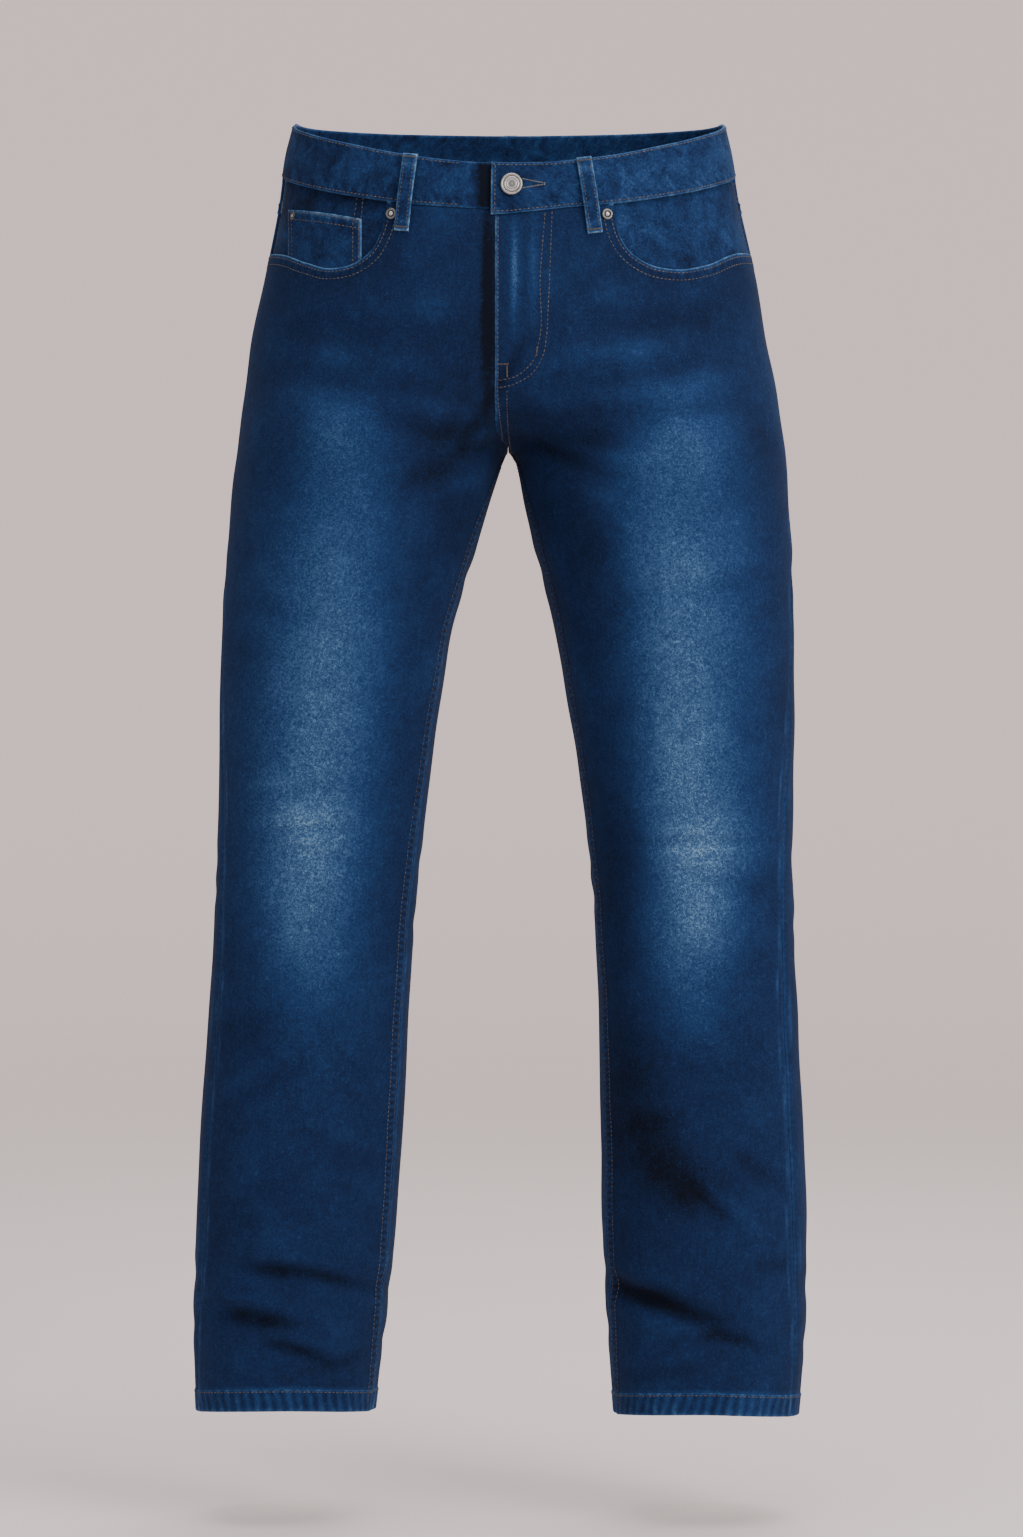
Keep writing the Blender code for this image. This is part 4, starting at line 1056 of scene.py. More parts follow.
@dataclass(frozen=True)
class MetalFinish(Finish):
    """Cast metal with a soft worn face: darker in its hollows and where it isn't polished, with marks."""

    bright: Colour
    dark: Colour
    roughness: float

    def mix(self, shader: Shader) -> None:
        """Mixes the metal: bright where it is polished or stands out, with cast marks as bump."""
        solid = shader.solid_place()
        marks = shader.noise(solid, 700, 4.0, 0.6)
        cloud = shader.noise(solid, 160, 3.0)
        hollow = shader.node("ShaderNodeNewGeometry", {}, {}, "Pointiness").between(0.47, 0.535)
        tone = (hollow * 0.12 + shader.stored("polish") * 0.75 + marks * 0.3 + cloud * 0.2 - 0.24).clamped()
        shader.finish(
            Base_Color=shader.blend(tone, self.dark, self.bright),
            Metallic=0.92,
            Roughness=(cloud * 0.25 + self.roughness).clamped(),
            Normal=shader.bump(marks, 0.06 * MM, 0.5),
        )


PEWTER = MetalFinish("pewter", (0.54, 0.515, 0.49), (0.085, 0.08, 0.085), 0.32)
DARK_PEWTER = MetalFinish("dark_pewter", (0.62, 0.6, 0.58), (0.03, 0.03, 0.034), 0.34)
BRASS = MetalFinish("zip_brass", (0.62, 0.46, 0.22), (0.2, 0.13, 0.05), 0.3)


# ------------------------------------------------------------------ lines that the pieces share


@dataclass
class Half:
    """The lines of one half of the jeans: its panels' columns and rows, and its front pocket's edge.

    A panel's grid has a narrow strip beside the centre seam or inseam, edge_width wide, and then columns
    at even shares of the way to the outseam. A front's columns are drawn to the pocket's edge above.
    """

    side: Side
    edge_width: float = 4.5 * MM
    edge_turn: float = 4.0
    gap_turn: float = 0.15
    gap: float = 0.25 * MM
    tuck: float = 0.8 * MM
    fitted: Span = (-0.300, -0.130)
    edge_leaves: Span = (-0.215, -0.170)
    turn_steps: int = 285
    strip: tuple[float, ...] = (1.0, 0.93, 0.80, 0.55, 0.28)
    closing: tuple[float, ...] = (0.010, 0.0045, 0.0015, 0.0)
    inner_columns: int = 28
    scoop_columns: int = 44
    body_rows_open: int = 66
    halvings: int = 24
    rounds: int = 6
    first_guess: float = -0.05
    front_width: float = 0.2
    row: float = 3.2 * MM
    leg_length: float = 0.76
    leg_top: float = 0.993
    hem_rows: tuple[float, ...] = (0, 0.4, 1.1, 2.5, 4.3, 6.2, 8.1, 10.0, 11.9, 13.8, 15.4, 16.5, 17.1, 17.9)
    hem_tilt: float = -0.092
    hem_reach: float = 0.07
    lap_edge: float = -12 * MM
    lap_turns: Span = (48.0, 80.0)
    lap_lift: float = 1.6 * MM
    lap_gone: Span = (4 * MM, 34 * MM)
    lap_sink: float = 9.0
    drop: float = 5 * MM
    drop_ends: Span = (-30 * MM, 52 * MM)

    def __post_init__(self) -> None:
        """Works out the lines beside the centre seams and the scoop."""
        self.name = self.side.name.lower()
        self.last_turns = {Face.FRONT: -52, Face.BACK: 232}
        self.hem_level = -1.0055 if self.side is Side.RIGHT else -1.0085
        self.inner = FORM.centre_x + self.side * self.edge_width
        self.edges = {face: self.edge_line(face) for face in Face}
        self.scoop_shares, self.scoop_heights = self.scoop_line()
        inner = np.linspace(0, self.scoop_shares[0], self.inner_columns + 1)[:-1]
        self.fit = np.concatenate([inner, self.scoop_shares])
        self.even = self.closed(self.fit.size)

    def closed(self, count: int) -> Array:
        """Even shares from 0 to 1 with a few close ones at the end, as many as are asked for."""
        plain = np.linspace(0, 1, count - len(self.closing) + 2)[:-2]
        return np.concatenate([plain, 1 - np.array(self.closing)])

    def both_closed(self, count: int) -> Array:
        """Even shares from 0 to 1 with a few close ones at either end."""
        return np.unique(np.concatenate([self.closed(count), 1 - self.closed(count)]))

    def edge_line(self, face: Face) -> tuple[Array, Array]:
        """The line beside a centre seam, as heights from low to high and leg angles."""
        line = FORM.rise(self.inner, np.linspace(90 + 2 * face, self.last_turns[face], self.turn_steps))
        order = np.argsort(line[:, 2])
        return line[order, 2], FORM.angle_of(self.side, face, line)[order]

    def edge_angle(self, face: Face, height: Array) -> Array:
        """The leg angle of that line at each height."""
        return np.interp(height, *self.edges[face])

    def out_angle(self, face: Face, height: Array) -> Array:
        """The leg angle of a panel's outer edge."""
        return FORM.seam_angle(self.side, height, "outseam") + face * self.gap_turn

    def on(self, face: Face, share: Array, height: Array) -> Array:
        """Points of the front or back at a share of the way to the outseam."""
        angle = mix(self.edge_angle(face, height), self.out_angle(face, height), share)
        return FORM.around(self.side, angle, height)

    def share_at(self, x: Array, height: Array) -> Array:
        """The share of the front at which its surface reaches x, found by halving."""
        low, high = np.zeros(np.shape(height)), np.ones(np.shape(height))
        for _ in range(self.halvings):
            middle = (low + high) / 2
            short = np.abs(self.on(Face.FRONT, middle, height)[..., 0]) < np.abs(x)
            low, high = np.where(short, middle, low), np.where(short, high, middle)
        return (low + high) / 2

    def height_at(self, face: Face, share: Array, seam: Seam, below: float) -> Array:
        """The height a little below a seam round the top on each line of equal share."""
        height = np.full(np.shape(share), self.first_guess)
        for _ in range(self.rounds):
            points = self.on(face, share, height)
            hung = self.lapped(face) * self.dropped(points[..., 0])
            height = FORM.rim(azimuth_of(points), seam) - below - hung
        return height

    def dropped(self, x: Array) -> Array:
        """How far the lapping front's waist seam hangs below the other's at an x."""
        return self.drop * (1 - smoothstep(x, *self.drop_ends))

    def scoop_line(self) -> tuple[Array, Array]:
        """The pocket's edge as a smooth line of shares and heights, close together at its outer end."""
        x, heights = (np.array(SCOOPS[self.side], float) * MM).T
        shares = self.share_at(x, heights)
        heights[0] = self.height_at(Face.FRONT, shares[:1], Seam.WAIST, self.gap)[0]
        shares, heights = np.append(shares, 1.0), np.append(heights, SCOOP_END)
        steps = np.hypot(np.diff(shares) * self.front_width, np.diff(heights))
        along = np.concatenate([[0], np.cumsum(steps)])
        at = along[-1] * self.closed(self.scoop_columns)
        return smooth_curve(at, along, shares), smooth_curve(at, along, heights)

    def lines(self, face: Face, height: Array) -> Array:
        """The shares of a panel's columns at each height: on a front, fitted to the scoop above."""
        if face is Face.BACK:
            return np.broadcast_to(self.even, height.shape)
        return mix(self.even, self.fit, smoothstep(height, *self.fitted))

    def top_line(self, face: Face) -> Array:
        """Heights along the top of a panel, one for each column."""
        if face is Face.BACK:
            return self.height_at(face, self.even, Seam.YOKE, -self.tuck)
        inner = self.height_at(face, self.fit[:self.inner_columns], Seam.WAIST, self.gap)
        return np.concatenate([inner, self.scoop_heights])

    def turns(self, face: Face, x: float) -> Array:
        """Turns along the centre seam, evenly apart on the cloth from the crotch to the top at an x."""
        front = face is Face.FRONT
        seam, azimuth, below = (Seam.WAIST, 0, self.gap) if front else (Seam.YOKE, 180, -self.tuck)
        turns = np.linspace(90, self.last_turns[face], self.turn_steps)
        line = FORM.rise(self.inner, turns)
        length = run(line, 0)
        above = np.arange(turns.size) > turns.size // 3
        high = float(FORM.rim(azimuth, seam)) - below - self.lapped(face) * float(self.dropped(x))
        end = np.interp(high, line[above, 2], length[above])
        return np.interp(end * self.closed(self.body_rows_open + 1), length, turns)

    def lapped(self, face: Face) -> bool:
        """Whether this is the front whose edge laps over the other."""
        return self.side is Side.LEFT and face is Face.FRONT

    def body_rows(self, face: Face) -> Array:
        """A panel's rows from the crotch up: the strip beside the seam, then out to the outseam."""
        turns, outer = self.turns(face, self.inner), self.turns(face, self.lap_edge)
        edge = np.full(turns.shape, FORM.centre_x + self.side * self.gap)
        if self.lapped(face):
            edge = mix(edge, self.lap_edge, 1 - smoothstep(outer, *self.lap_turns))
        strip = [FORM.rise(mix(self.inner, edge, part), mix(turns, outer, part))[:, None]
                 for part in self.strip]
        first = FORM.rise(self.inner, turns)
        top = self.top_line(face)
        share = np.linspace(0, 1, top.size)
        level = first[0, 2]
        plain = mix(level, top, self.closed(turns.size)[:, None])
        height = plain + (first[:, 2:] - plain[:, :1]) * (1 - share) ** 2
        start = FORM.angle_of(self.side, face, first)[:, None]
        start = mix(start, self.edge_angle(face, height), smoothstep(first[:, 2:], *self.edge_leaves))
        angle = mix(start, self.out_angle(face, height), self.lines(face, height))
        return np.concatenate([*strip, first[:, None], FORM.around(self.side, angle, height)[:, 1:]], axis=1)

    def leg_rows(self, face: Face) -> Array:
        """A panel's rows from the hem up to just under the crotch."""
        plain = np.arange(self.hem_rows[-1] * MM + self.row, self.leg_length * self.leg_top, self.row)
        rises = np.concatenate([np.array(self.hem_rows) * MM, plain]) / self.leg_length
        level = FORM.rise(self.inner, 90.0)[2]
        height = np.full((rises.size, self.even.size), level)
        for _ in range(self.rounds):
            middle = FORM.leg_centre(self.side, height)[1]
            hung = middle + self.hem_reach * face * np.sin(np.pi * self.even)
            bottom = self.hem_level + self.hem_tilt * hung
            height = mix(bottom, level, rises[:, None])
        turned = 0 if face is Face.FRONT else 360
        start = turned + FORM.seam_angle(self.side, height, "inseam")
        start = start - face * (self.gap_turn + self.edge_turn)
        angle = mix(start, self.out_angle(face, height), self.lines(face, height))
        main = FORM.around(self.side, angle, height)
        strip = [FORM.around(self.side, start[:, :1] + face * self.edge_turn * part, height[:, :1])
                 for part in self.strip]
        return np.concatenate([*strip, main], axis=1)

    def lift(self, points: Array) -> Array:
        """How far the lapping front is lifted over the other."""
        x, y, z = np.moveaxis(points, -1, 0)
        turn = np.degrees(np.arctan2(FORM.rise_centre[1] - z, FORM.rise_centre[0] - y))
        low = self.lap_turns[1]
        above = 1 - smoothstep(turn, low, low + self.lap_sink)
        return self.lap_lift * (1 - smoothstep(x, *self.lap_gone)) * above


def plane_line(face: Face, knots: tuple, step: float = 1 * MM) -> Array:
    """A smooth line on the form through places that are given as x and height in millimetres."""
    flat = np.array(knots, float) * MM
    along = run(flat, 0)
    at = np.linspace(0, along[-1], max(int(along[-1] / step), 2) + 1)
    return FORM.facing(face, *(smooth_curve(at, along, values) for values in flat.T))


def beside(line: Array, distance: float, normals: Array) -> Array:
    """A line moved sideways on the cloth, to the left of its own direction seen from outside."""
    along = unit(np.gradient(line, axis=0))
    return line + unit(np.cross(normals, along)) * distance


# ------------------------------------------------------------------ sewing


@dataclass(frozen=True)
class Stitch:
    """One kind of stitch: how far apart, how long, how wide, and whether it lies across its line."""

    pitch: float = 3.4 * MM
    length: float = 2.8 * MM
    width: float = 0.80 * MM
    height: float = 0.50 * MM
    across: bool = False
    stations: tuple[float, ...] = (-0.5, -0.32, 0.0, 0.32, 0.5)
    lifts: tuple[float, ...] = (-0.9, 0.25, 0.5, 0.25, -0.9)
    widths: tuple[float, ...] = (0.45, 0.9, 1.0, 0.9, 0.45)


TOPSTITCH = Stitch()
FINE = Stitch(pitch=2.9 * MM, length=2.35 * MM, width=0.66 * MM, height=0.42 * MM)
TACK = Stitch(pitch=0.55 * MM, length=1.6 * MM, width=0.55 * MM, height=0.42 * MM, across=True)
BUTTONHOLE = Stitch(pitch=0.62 * MM, length=1.3 * MM, width=0.60 * MM, height=0.50 * MM, across=True)


class Sewing:
    """The stitches on one cloth, made into one piece."""

    def __init__(self, cloth: Cloth, finish: ThreadFinish = THREAD, label: str = "stitches") -> None:
        """Starts with no stitch; each cloth has its own seeded scatter."""
        self.cloth, self.finish, self.name = cloth, finish, f"{cloth.name}_{label}"
        self.random = np.random.default_rng(sum(map(ord, self.name)))
        self.points: list[Array] = []
        self.tones_and_highlights: list[Array] = []

    def row(self, line: Array, stitch: Stitch = TOPSTITCH) -> None:
        """Sews along a line of points that lies near the cloth.

        Each stitch is a five-ringed, four-sided lens: its rings follow the cloth, its middle stands
        proud of it and its ends sink in.

        Args:
            line: the points, in order.
            stitch: the kind of stitch.
        """
        along = run(line, 0)
        count = int(along[-1] / stitch.pitch)
        if count < 1:
            return
        at = (np.arange(count) + 0.5) * along[-1] / count + self.random.normal(0, 0.03, count) * stitch.pitch

        def read(where: Array) -> Array:
            return vectors(*(np.interp(where, along, values) for values in line.T))

        centre = read(at)
        way = unit(read(at + 0.4 * MM) - read(at - 0.4 * MM))
        normals = FORM.normal(centre)
        if stitch.across:
            way = unit(np.cross(normals, way))
        way = unit(way + self.random.normal(0, 0.025, way.shape))
        length = stitch.length * self.random.uniform(0.93, 1.05, count)
        places = centre[:, None] + way[:, None] * np.array(stitch.stations)[:, None] * length[:, None, None]
        ground, lean = self.cloth.lay(places, np.broadcast_to(normals[:, None], places.shape))
        sideways = unit(np.cross(way[:, None], lean))
        lift = np.array(stitch.lifts)[:, None] * stitch.height
        body = ground + lean * lift
        widths = np.array(stitch.widths)[:, None] / 2
        rings = [body + sideways * widths * stitch.width, body + lean * widths * stitch.height,
                 body - sideways * widths * stitch.width, body - lean * widths * stitch.height]
        self.points.append(np.stack(rings, axis=2))
        tone = self.random.uniform(0.05, 0.75, count)[:, None, None]
        # Painted highlight: each stitch is paler on its top side, most of all in its middle.
        crown = np.array([0, 0.15, 0.3, 0.15, 0])[:, None] * np.array([0.3, 1, 0.3, 0])
        self.tones_and_highlights.append(tone + crown)

    def inside(self, edge: Edge, distance: float, start: int | None, end: int,
               stitch: Stitch = TOPSTITCH) -> None:
        """Sews a row that lies a distance inside an edge of the cloth.

        Args:
            edge: the edge.
            distance: how far inside it the row lies.
            start: the point of the row that the stitches start at.
            end: the point that they end at.
            stitch: the kind of stitch.
        """
        self.row(self.cloth.sheet.line(edge, distance)[start:end], stitch)

    def drawn(self, knots: tuple, stitch: Stitch = TOPSTITCH) -> None:
        """Sews the front along a smooth line through places in millimetres."""
        self.row(plane_line(Face.FRONT, knots), stitch)

    def piece(self) -> bpy.types.Object:
        """Makes the stitches into one object that rides with the cloth."""
        points = np.concatenate(self.points)
        rings, sides = points.shape[1:3]
        ring, side = np.meshgrid(np.arange(rings - 1), np.arange(sides), indexing="ij")
        after = (side + 1) % sides
        tube = np.stack([ring * sides + side, (ring + 1) * sides + side, (ring + 1) * sides + after,
                         ring * sides + after], axis=-1).reshape(-1, 4)
        ends = np.array([[0, 1, 2, 3], (rings - 1) * sides + np.array([3, 2, 1, 0])])
        one = np.concatenate([tube, ends])
        faces = (one[None] + np.arange(len(points))[:, None, None] * rings * sides).reshape(-1, 4)
        made = mesh_object(self.name, points.reshape(-1, 3), faces, [self.finish.material()], 80)
        point_values(made, "tone", np.concatenate(self.tones_and_highlights))
        place_piece(made)
        LOG.info("%s: %d stitches", self.name, len(points))
        return made


# ------------------------------------------------------------------ the pieces

# The rows on the fly, then its bar tacks, as x and height in millimetres.
FLY_ROWS = (
    ((-9.6, -67), (-9.7, -120), (-9.8, -180), (-9.6, -211), (-7.4, -231), (-4.9, -247)),
    ((32.2, -62.5), (29.1, -137), (27.9, -159), (25.2, -174), (16.7, -187.5), (3.5, -194.5), (-9.5, -198.5)),
    ((26.8, -63.5), (22.9, -115), (22.1, -163), (17.5, -178), (9.7, -186), (-3.0, -191.8), (-9.5, -193)),
    ((-2.8, -199), (-2.7, -215), (-1.2, -232), (1.0, -245)),
)
FLY_TACKS = (
    ((-10.5, -180.5), (-1.5, -180.5)),
    ((-2.7, -181.5), (-2.6, -190.5)),
    ((20.5, -167.5), (20.2, -174.5)),
)


@dataclass(frozen=True)
class Panel:
    """A front or a back: one shell from its top seam down to the folded hem."""

    half: Half
    face: Face
    cloth: float = 1.2 * MM
    sunk: float = 1.5 * MM
    sinks_within: float = 0.8 * MM
    fold: float = 0.9 * MM
    hem: float = 17.3 * MM
    hem_proud: float = 0.6 * MM
    hem_cloth: float = 2.6 * MM
    felled: float = 12.6 * MM
    felled_proud: float = 0.55 * MM
    seam_rows: Span = (2.4 * MM, 11.0 * MM)
    scoop_rows: Span = (2.9 * MM, 8.6 * MM)
    hem_row: float = 15.7 * MM
    first_stitch: int = 6
    lap_rows: Span = (12, 26)
    hem_step: Span = (-0.3 * MM, 0.5 * MM)
    felled_step: Span = (-0.8 * MM, 0.6 * MM)
    hem_roll: float = 1.2 * MM
    seam_proud: float = 0.3 * MM
    seam_step: Span = (9 * MM, 11.5 * MM)
    ridge_from: float = 6.5 * MM
    ridge_sway: float = 2.2 * MM
    ridge_turns: float = 34
    inseam_wear: Span = (0.34, 0.1)

    @property
    def name(self) -> str:
        """The panel's name, as its solid's."""
        return f"{self.face.name.lower()}_{self.half.name}"

    def build(self) -> None:
        """Builds, sews and dresses the panel.

        The cloth stands off the form by its relief, less what the seams sink and the free edges roll, plus
        what the hem and the felled inseam stand proud. It is rubbed along its edges and ridges, faded down
        the legs and paler on the creases' ridges, and darkened as painted shade in the creases' troughs.
        """
        half, face = self.half, self.face
        upper, lower = half.body_rows(face), half.leg_rows(face)
        sheet = Sheet(np.concatenate([lower, upper]))
        points, normals, relief = sheet.points, sheet.normals, sheet.relief
        inner, outer, up, top = sheet.first, sheet.last, sheet.up, sheet.down
        legs = len(lower)
        rows = np.arange(len(points))[:, None]
        scoop = (np.arange(points.shape[1]) > len(half.strip) + half.inner_columns - 2) * (face is Face.FRONT)
        lap = half.lapped(face) * smoothstep(rows - legs, *self.lap_rows)
        seam_in = np.exp(-inner / self.sinks_within) * (1 - lap)
        seam_out = np.exp(-outer / self.sinks_within)
        seam_top = np.exp(-top / self.sinks_within) * (1 - scoop)
        hem = 1 - smoothstep(up - self.hem, *self.hem_step)
        felled = 1 - smoothstep(inner - self.felled, *self.felled_step)
        felled = felled * ((rows < legs) if face is Face.FRONT else (rows >= legs) * (half.side is Side.LEFT))
        out = (relief - self.sunk * np.maximum(np.maximum(seam_in, seam_out), seam_top)
               - rolled(top, self.fold) * scoop * (top < self.fold)
               - rolled(inner, self.fold) * lap * (inner < self.fold)
               - rolled(up, self.hem_roll) * (up < self.hem_roll)
               + self.hem_proud * hem + self.felled_proud * felled * (1 - hem)
               + self.seam_proud * (1 - smoothstep(outer, *self.seam_step)))
        if half.lapped(face):
            out[legs:] += half.lift(upper)
        cloth = mix(self.cloth, self.hem_cloth, hem)
        ridge = outer - self.ridge_from - self.ridge_sway * np.sin(points[..., 2] * self.ridge_turns)
        wear = (1.15 * bell(top, 1.4 * MM) * scoop + 1.1 * bell(inner, 1.6 * MM) * lap
                + 0.32 * bell(outer - 0.8 * MM, 0.9 * MM) + 0.7 * np.exp(-up / (1.3 * MM))
                + 0.42 * bell(up - self.hem, 0.7 * MM) + 0.16 * hem
                + 0.35 * bell(ridge, 0.8 * MM) * (rows < legs)
                + self.inseam_wear[face is Face.FRONT] * bell(inner - 2.5 * MM, 2.6 * MM) * (rows < legs)
                + 0.15 * np.clip(relief / (1.2 * MM), 0, 1))
        pucker = (np.maximum(hem, 0.5 * scoop * bell(top - 5 * MM, 3 * MM))
                  - (1 - hem) * np.maximum(1.7 * felled * bell(inner - 6.7 * MM, 2.4 * MM),
                                           0.3 * bell(outer - 3 * MM, 3 * MM)))
        small = RELIEF.creases(points, normals) + 0.25 * RELIEF.folds(points, normals)
        # Painted shade: the colour is darkened in the troughs of the creases and folds; on their ridges it is
        # paler, as rubbed wear.
        fade = (RELIEF.worn(points, normals) + 100 * np.clip(small + 0.3 * MM, -3 * MM, 0)
                + 30 * np.clip(small - 0.3 * MM, 0, 1.5 * MM))
        made = Cloth(self.name, sheet.fill(out, cloth, wear, fade, pucker), DENIM, REVERSE)
        carrier = "yoke_" + half.name if face is Face.BACK else "waistband"
        made.dress("denim", [carrier], self.sew(made, legs))

    def sew(self, made: Cloth, legs: int) -> Sewing:
        """Topstitches the panel: its hem, its felled seam, and the front's fly and pocket.

        Args:
            made: the panel's cloth.
            legs: how many of its rows lie below the crotch.

        Returns:
            The stitches.
        """
        half, face = self.half, self.face
        sewing = Sewing(made)
        sewing.inside(Edge.LOW, self.hem_row, 2, -1)
        if face is Face.FRONT:
            for distance in self.seam_rows:
                sewing.inside(Edge.FIRST, distance, self.first_stitch, legs)
            self.sew_scoop(sewing)
            if half.lapped(face):
                self.sew_fly(sewing)
        elif half.side is Side.LEFT:
            for distance in self.seam_rows:
                sewing.inside(Edge.FIRST, distance, legs + 2, -1)
        return sewing

    def sew_scoop(self, sewing: Sewing) -> None:
        """Two rows along the pocket's curved edge, and a bar tack at its outer end."""
        half = self.half
        edge = half.on(Face.FRONT, half.scoop_shares, half.scoop_heights)
        normals = FORM.normal(edge)
        for distance in self.scoop_rows:
            line = beside(edge, -half.side * distance, normals)
            sewing.row(line[line[:, 2] < edge[0, 2] - 1 * MM][:-1])
        outer = half.on(Face.FRONT, 0.988, SCOOP_END + np.linspace(-2, -12, 12) * MM)
        sewing.row(outer, TACK)

    def sew_fly(self, sewing: Sewing) -> None:
        """The fly's edge row, its two J rows and its bar tacks, and the crotch seam below them."""
        for knots in FLY_ROWS:
            sewing.drawn(knots)
        for ends in FLY_TACKS:
            sewing.drawn(ends, TACK)


@dataclass(frozen=True)
class Yoke:
    """The shaped piece between a back and the waistband."""

    half: Half
    rows: int = 18
    cloth: float = 1.2 * MM
    proud: float = 0.55 * MM
    sunk: float = 1.5 * MM
    sinks_within: float = 0.8 * MM
    fold: float = 0.8 * MM
    felled_step: Span = (9.2 * MM, 10.6 * MM)
    seam_rows: Span = (1.9 * MM, 7.9 * MM)

    def build(self) -> None:
        """Builds, sews and dresses the yoke: its relief, sunk at three edges and proud over the back."""
        half = self.half
        share = half.even
        low = half.height_at(Face.BACK, share, Seam.YOKE, -half.gap)
        high = half.height_at(Face.BACK, share, Seam.WAIST, half.gap)
        main = half.on(Face.BACK, share, mix(low, high, half.both_closed(self.rows)[:, None]))
        seam = FORM.centre_x + (half.gap if half.side is Side.LEFT else half.tuck)
        strip = [main[:, :1] * (0, 1, 1) + (mix(half.inner, seam, part), 0, 0) for part in half.strip]
        sheet = Sheet(np.concatenate([*strip, main], axis=1))
        up = sheet.up
        sunk = np.exp(-np.minimum(sheet.beside(), sheet.down) / self.sinks_within)
        felled = self.proud * (1 - smoothstep(up, *self.felled_step))
        out = sheet.relief - self.sunk * sunk - rolled(up, self.fold) + felled
        wear = 0.7 * np.exp(-up / (1.3 * MM)) + 0.4 * bell(up - 10 * MM, 1.2 * MM)
        sheet.fill(out, self.cloth, wear, 0.12, bell(up - 5 * MM, 3 * MM))
        made = Cloth("yoke_" + half.name, sheet, DENIM, REVERSE)
        sewing = Sewing(made)
        for edge in (Edge.LOW, Edge.FIRST) if half.side is Side.LEFT else (Edge.LOW,):
            for distance in self.seam_rows:
                sewing.inside(edge, distance, 1, -1)
        made.dress("denim", ["waistband"], sewing)


@dataclass(frozen=True)
class PocketFacing:
    """The denim behind a front pocket's curved edge, and on the right the coin pocket that lies on it."""

    half: Half
    cloth: float = 1.2 * MM
    rows: int = 26
    below: float = 20 * MM
    first: float = 0.62
    coin_sides: Span = (-117 * MM, -177 * MM)
    coin_tops: Span = (-66 * MM, -52.5 * MM)
    coin_out: float = -1.45 * MM
    coin_cloth: float = 1.0 * MM
    coin_below: float = 13 * MM
    coin_columns: int = 24
    coin_fold: float = 0.8 * MM
    coin_hem: Span = (9.0 * MM, 10.2 * MM)
    coin_hem_proud: float = 0.35 * MM
    top_rows: Span = (2.0 * MM, 8.0 * MM)
    side_rows: Span = (2.0 * MM, 7.0 * MM)
    tack: float = 4.5 * MM

    def build(self) -> None:
        """Builds and dresses the facing, which lies a depth below the front, then the coin pocket."""
        half = self.half
        right = half.side is Side.RIGHT
        depth, edge_depth = (2.8 * MM, 1.2 * MM) if right else (1.5 * MM, 1.5 * MM)
        start = half.scoop_shares[0] * self.first
        shares = np.concatenate([np.linspace(start, half.scoop_shares[0], 12)[:-1], half.scoop_shares])
        low_at = int(np.argmax(np.diff(half.scoop_shares) > 0.004))
        foot = np.interp(shares, half.scoop_shares[low_at:], half.scoop_heights[low_at:]) - self.below
        high = half.height_at(Face.FRONT, shares, Seam.WAIST, half.gap)
        sheet = Sheet(half.on(Face.FRONT, shares, mix(foot, high, half.closed(self.rows)[:, None])))
        sunk = np.exp(-np.minimum(sheet.last, sheet.down) / (0.8 * MM)) * edge_depth
        out = sheet.relief - depth - sunk
        # Painted light: the wearer's left facing, on the side the key light falls, is made paler than the
        # right; both are paler in a band about 75 mm down.
        fade = 0.05 + 0.05 * half.side + 0.10 * bell(sheet.points[..., 2] + 75 * MM, 14 * MM)
        sheet.fill(out, self.cloth, 0.0, fade, 0.0)
        made = Cloth("pocket_facing_" + half.name, sheet, FACING, REVERSE)
        sewing = Sewing(made)
        if right:
            for knots in (((-120.5, -48), (-123.0, -64)), ((-115.8, -48), (-117.4, -66))):
                sewing.drawn(knots)
        sewing.row(half.on(Face.FRONT, 0.985, np.linspace(high[-1] - 4 * MM, SCOOP_END - 3 * MM, 20)))
        made.dress("denim_facing", ["waistband"], sewing)
        if right:
            self.build_coin_pocket()

    def build_coin_pocket(self) -> None:
        """Builds, sews and dresses the small pocket that runs down behind the scoop."""
        half = self.half
        share = half.both_closed(self.coin_columns)
        x, top = mix(*self.coin_sides, share), mix(*self.coin_tops, share)
        edge = half.on(Face.FRONT, half.scoop_shares, half.scoop_heights)
        low = np.interp(-x, -edge[:, 0], edge[:, 2]) - self.coin_below
        sheet = Sheet(FORM.facing(Face.FRONT, x, mix(low, top, half.closed(self.rows)[:, None])))
        side, down = sheet.beside(), sheet.down
        hem = 1 - smoothstep(down, *self.coin_hem)
        turned = rolled(side, self.coin_fold), rolled(down, self.coin_fold)
        out = sheet.relief + self.coin_out - turned[0] - turned[1] + self.coin_hem_proud * hem
        wear = 0.9 * bell(down, 1.1 * MM) + 0.9 * bell(side, 1.1 * MM)
        made = Cloth("coin_pocket", sheet.fill(out, self.coin_cloth, wear, 0.10, 0.6 * hem), TRIM, REVERSE)
        sewing = Sewing(made)
        for distance in self.top_rows:
            sewing.inside(Edge.TOP, distance, 2, -2)
        for distance in self.side_rows:
            for edge in (Edge.FIRST, Edge.LAST):
                sewing.inside(edge, distance, None, -1)
        sewing.inside(Edge.FIRST, self.tack, -5, -1, TACK)
        made.dress("denim", ["pocket_facing_right"], sewing)


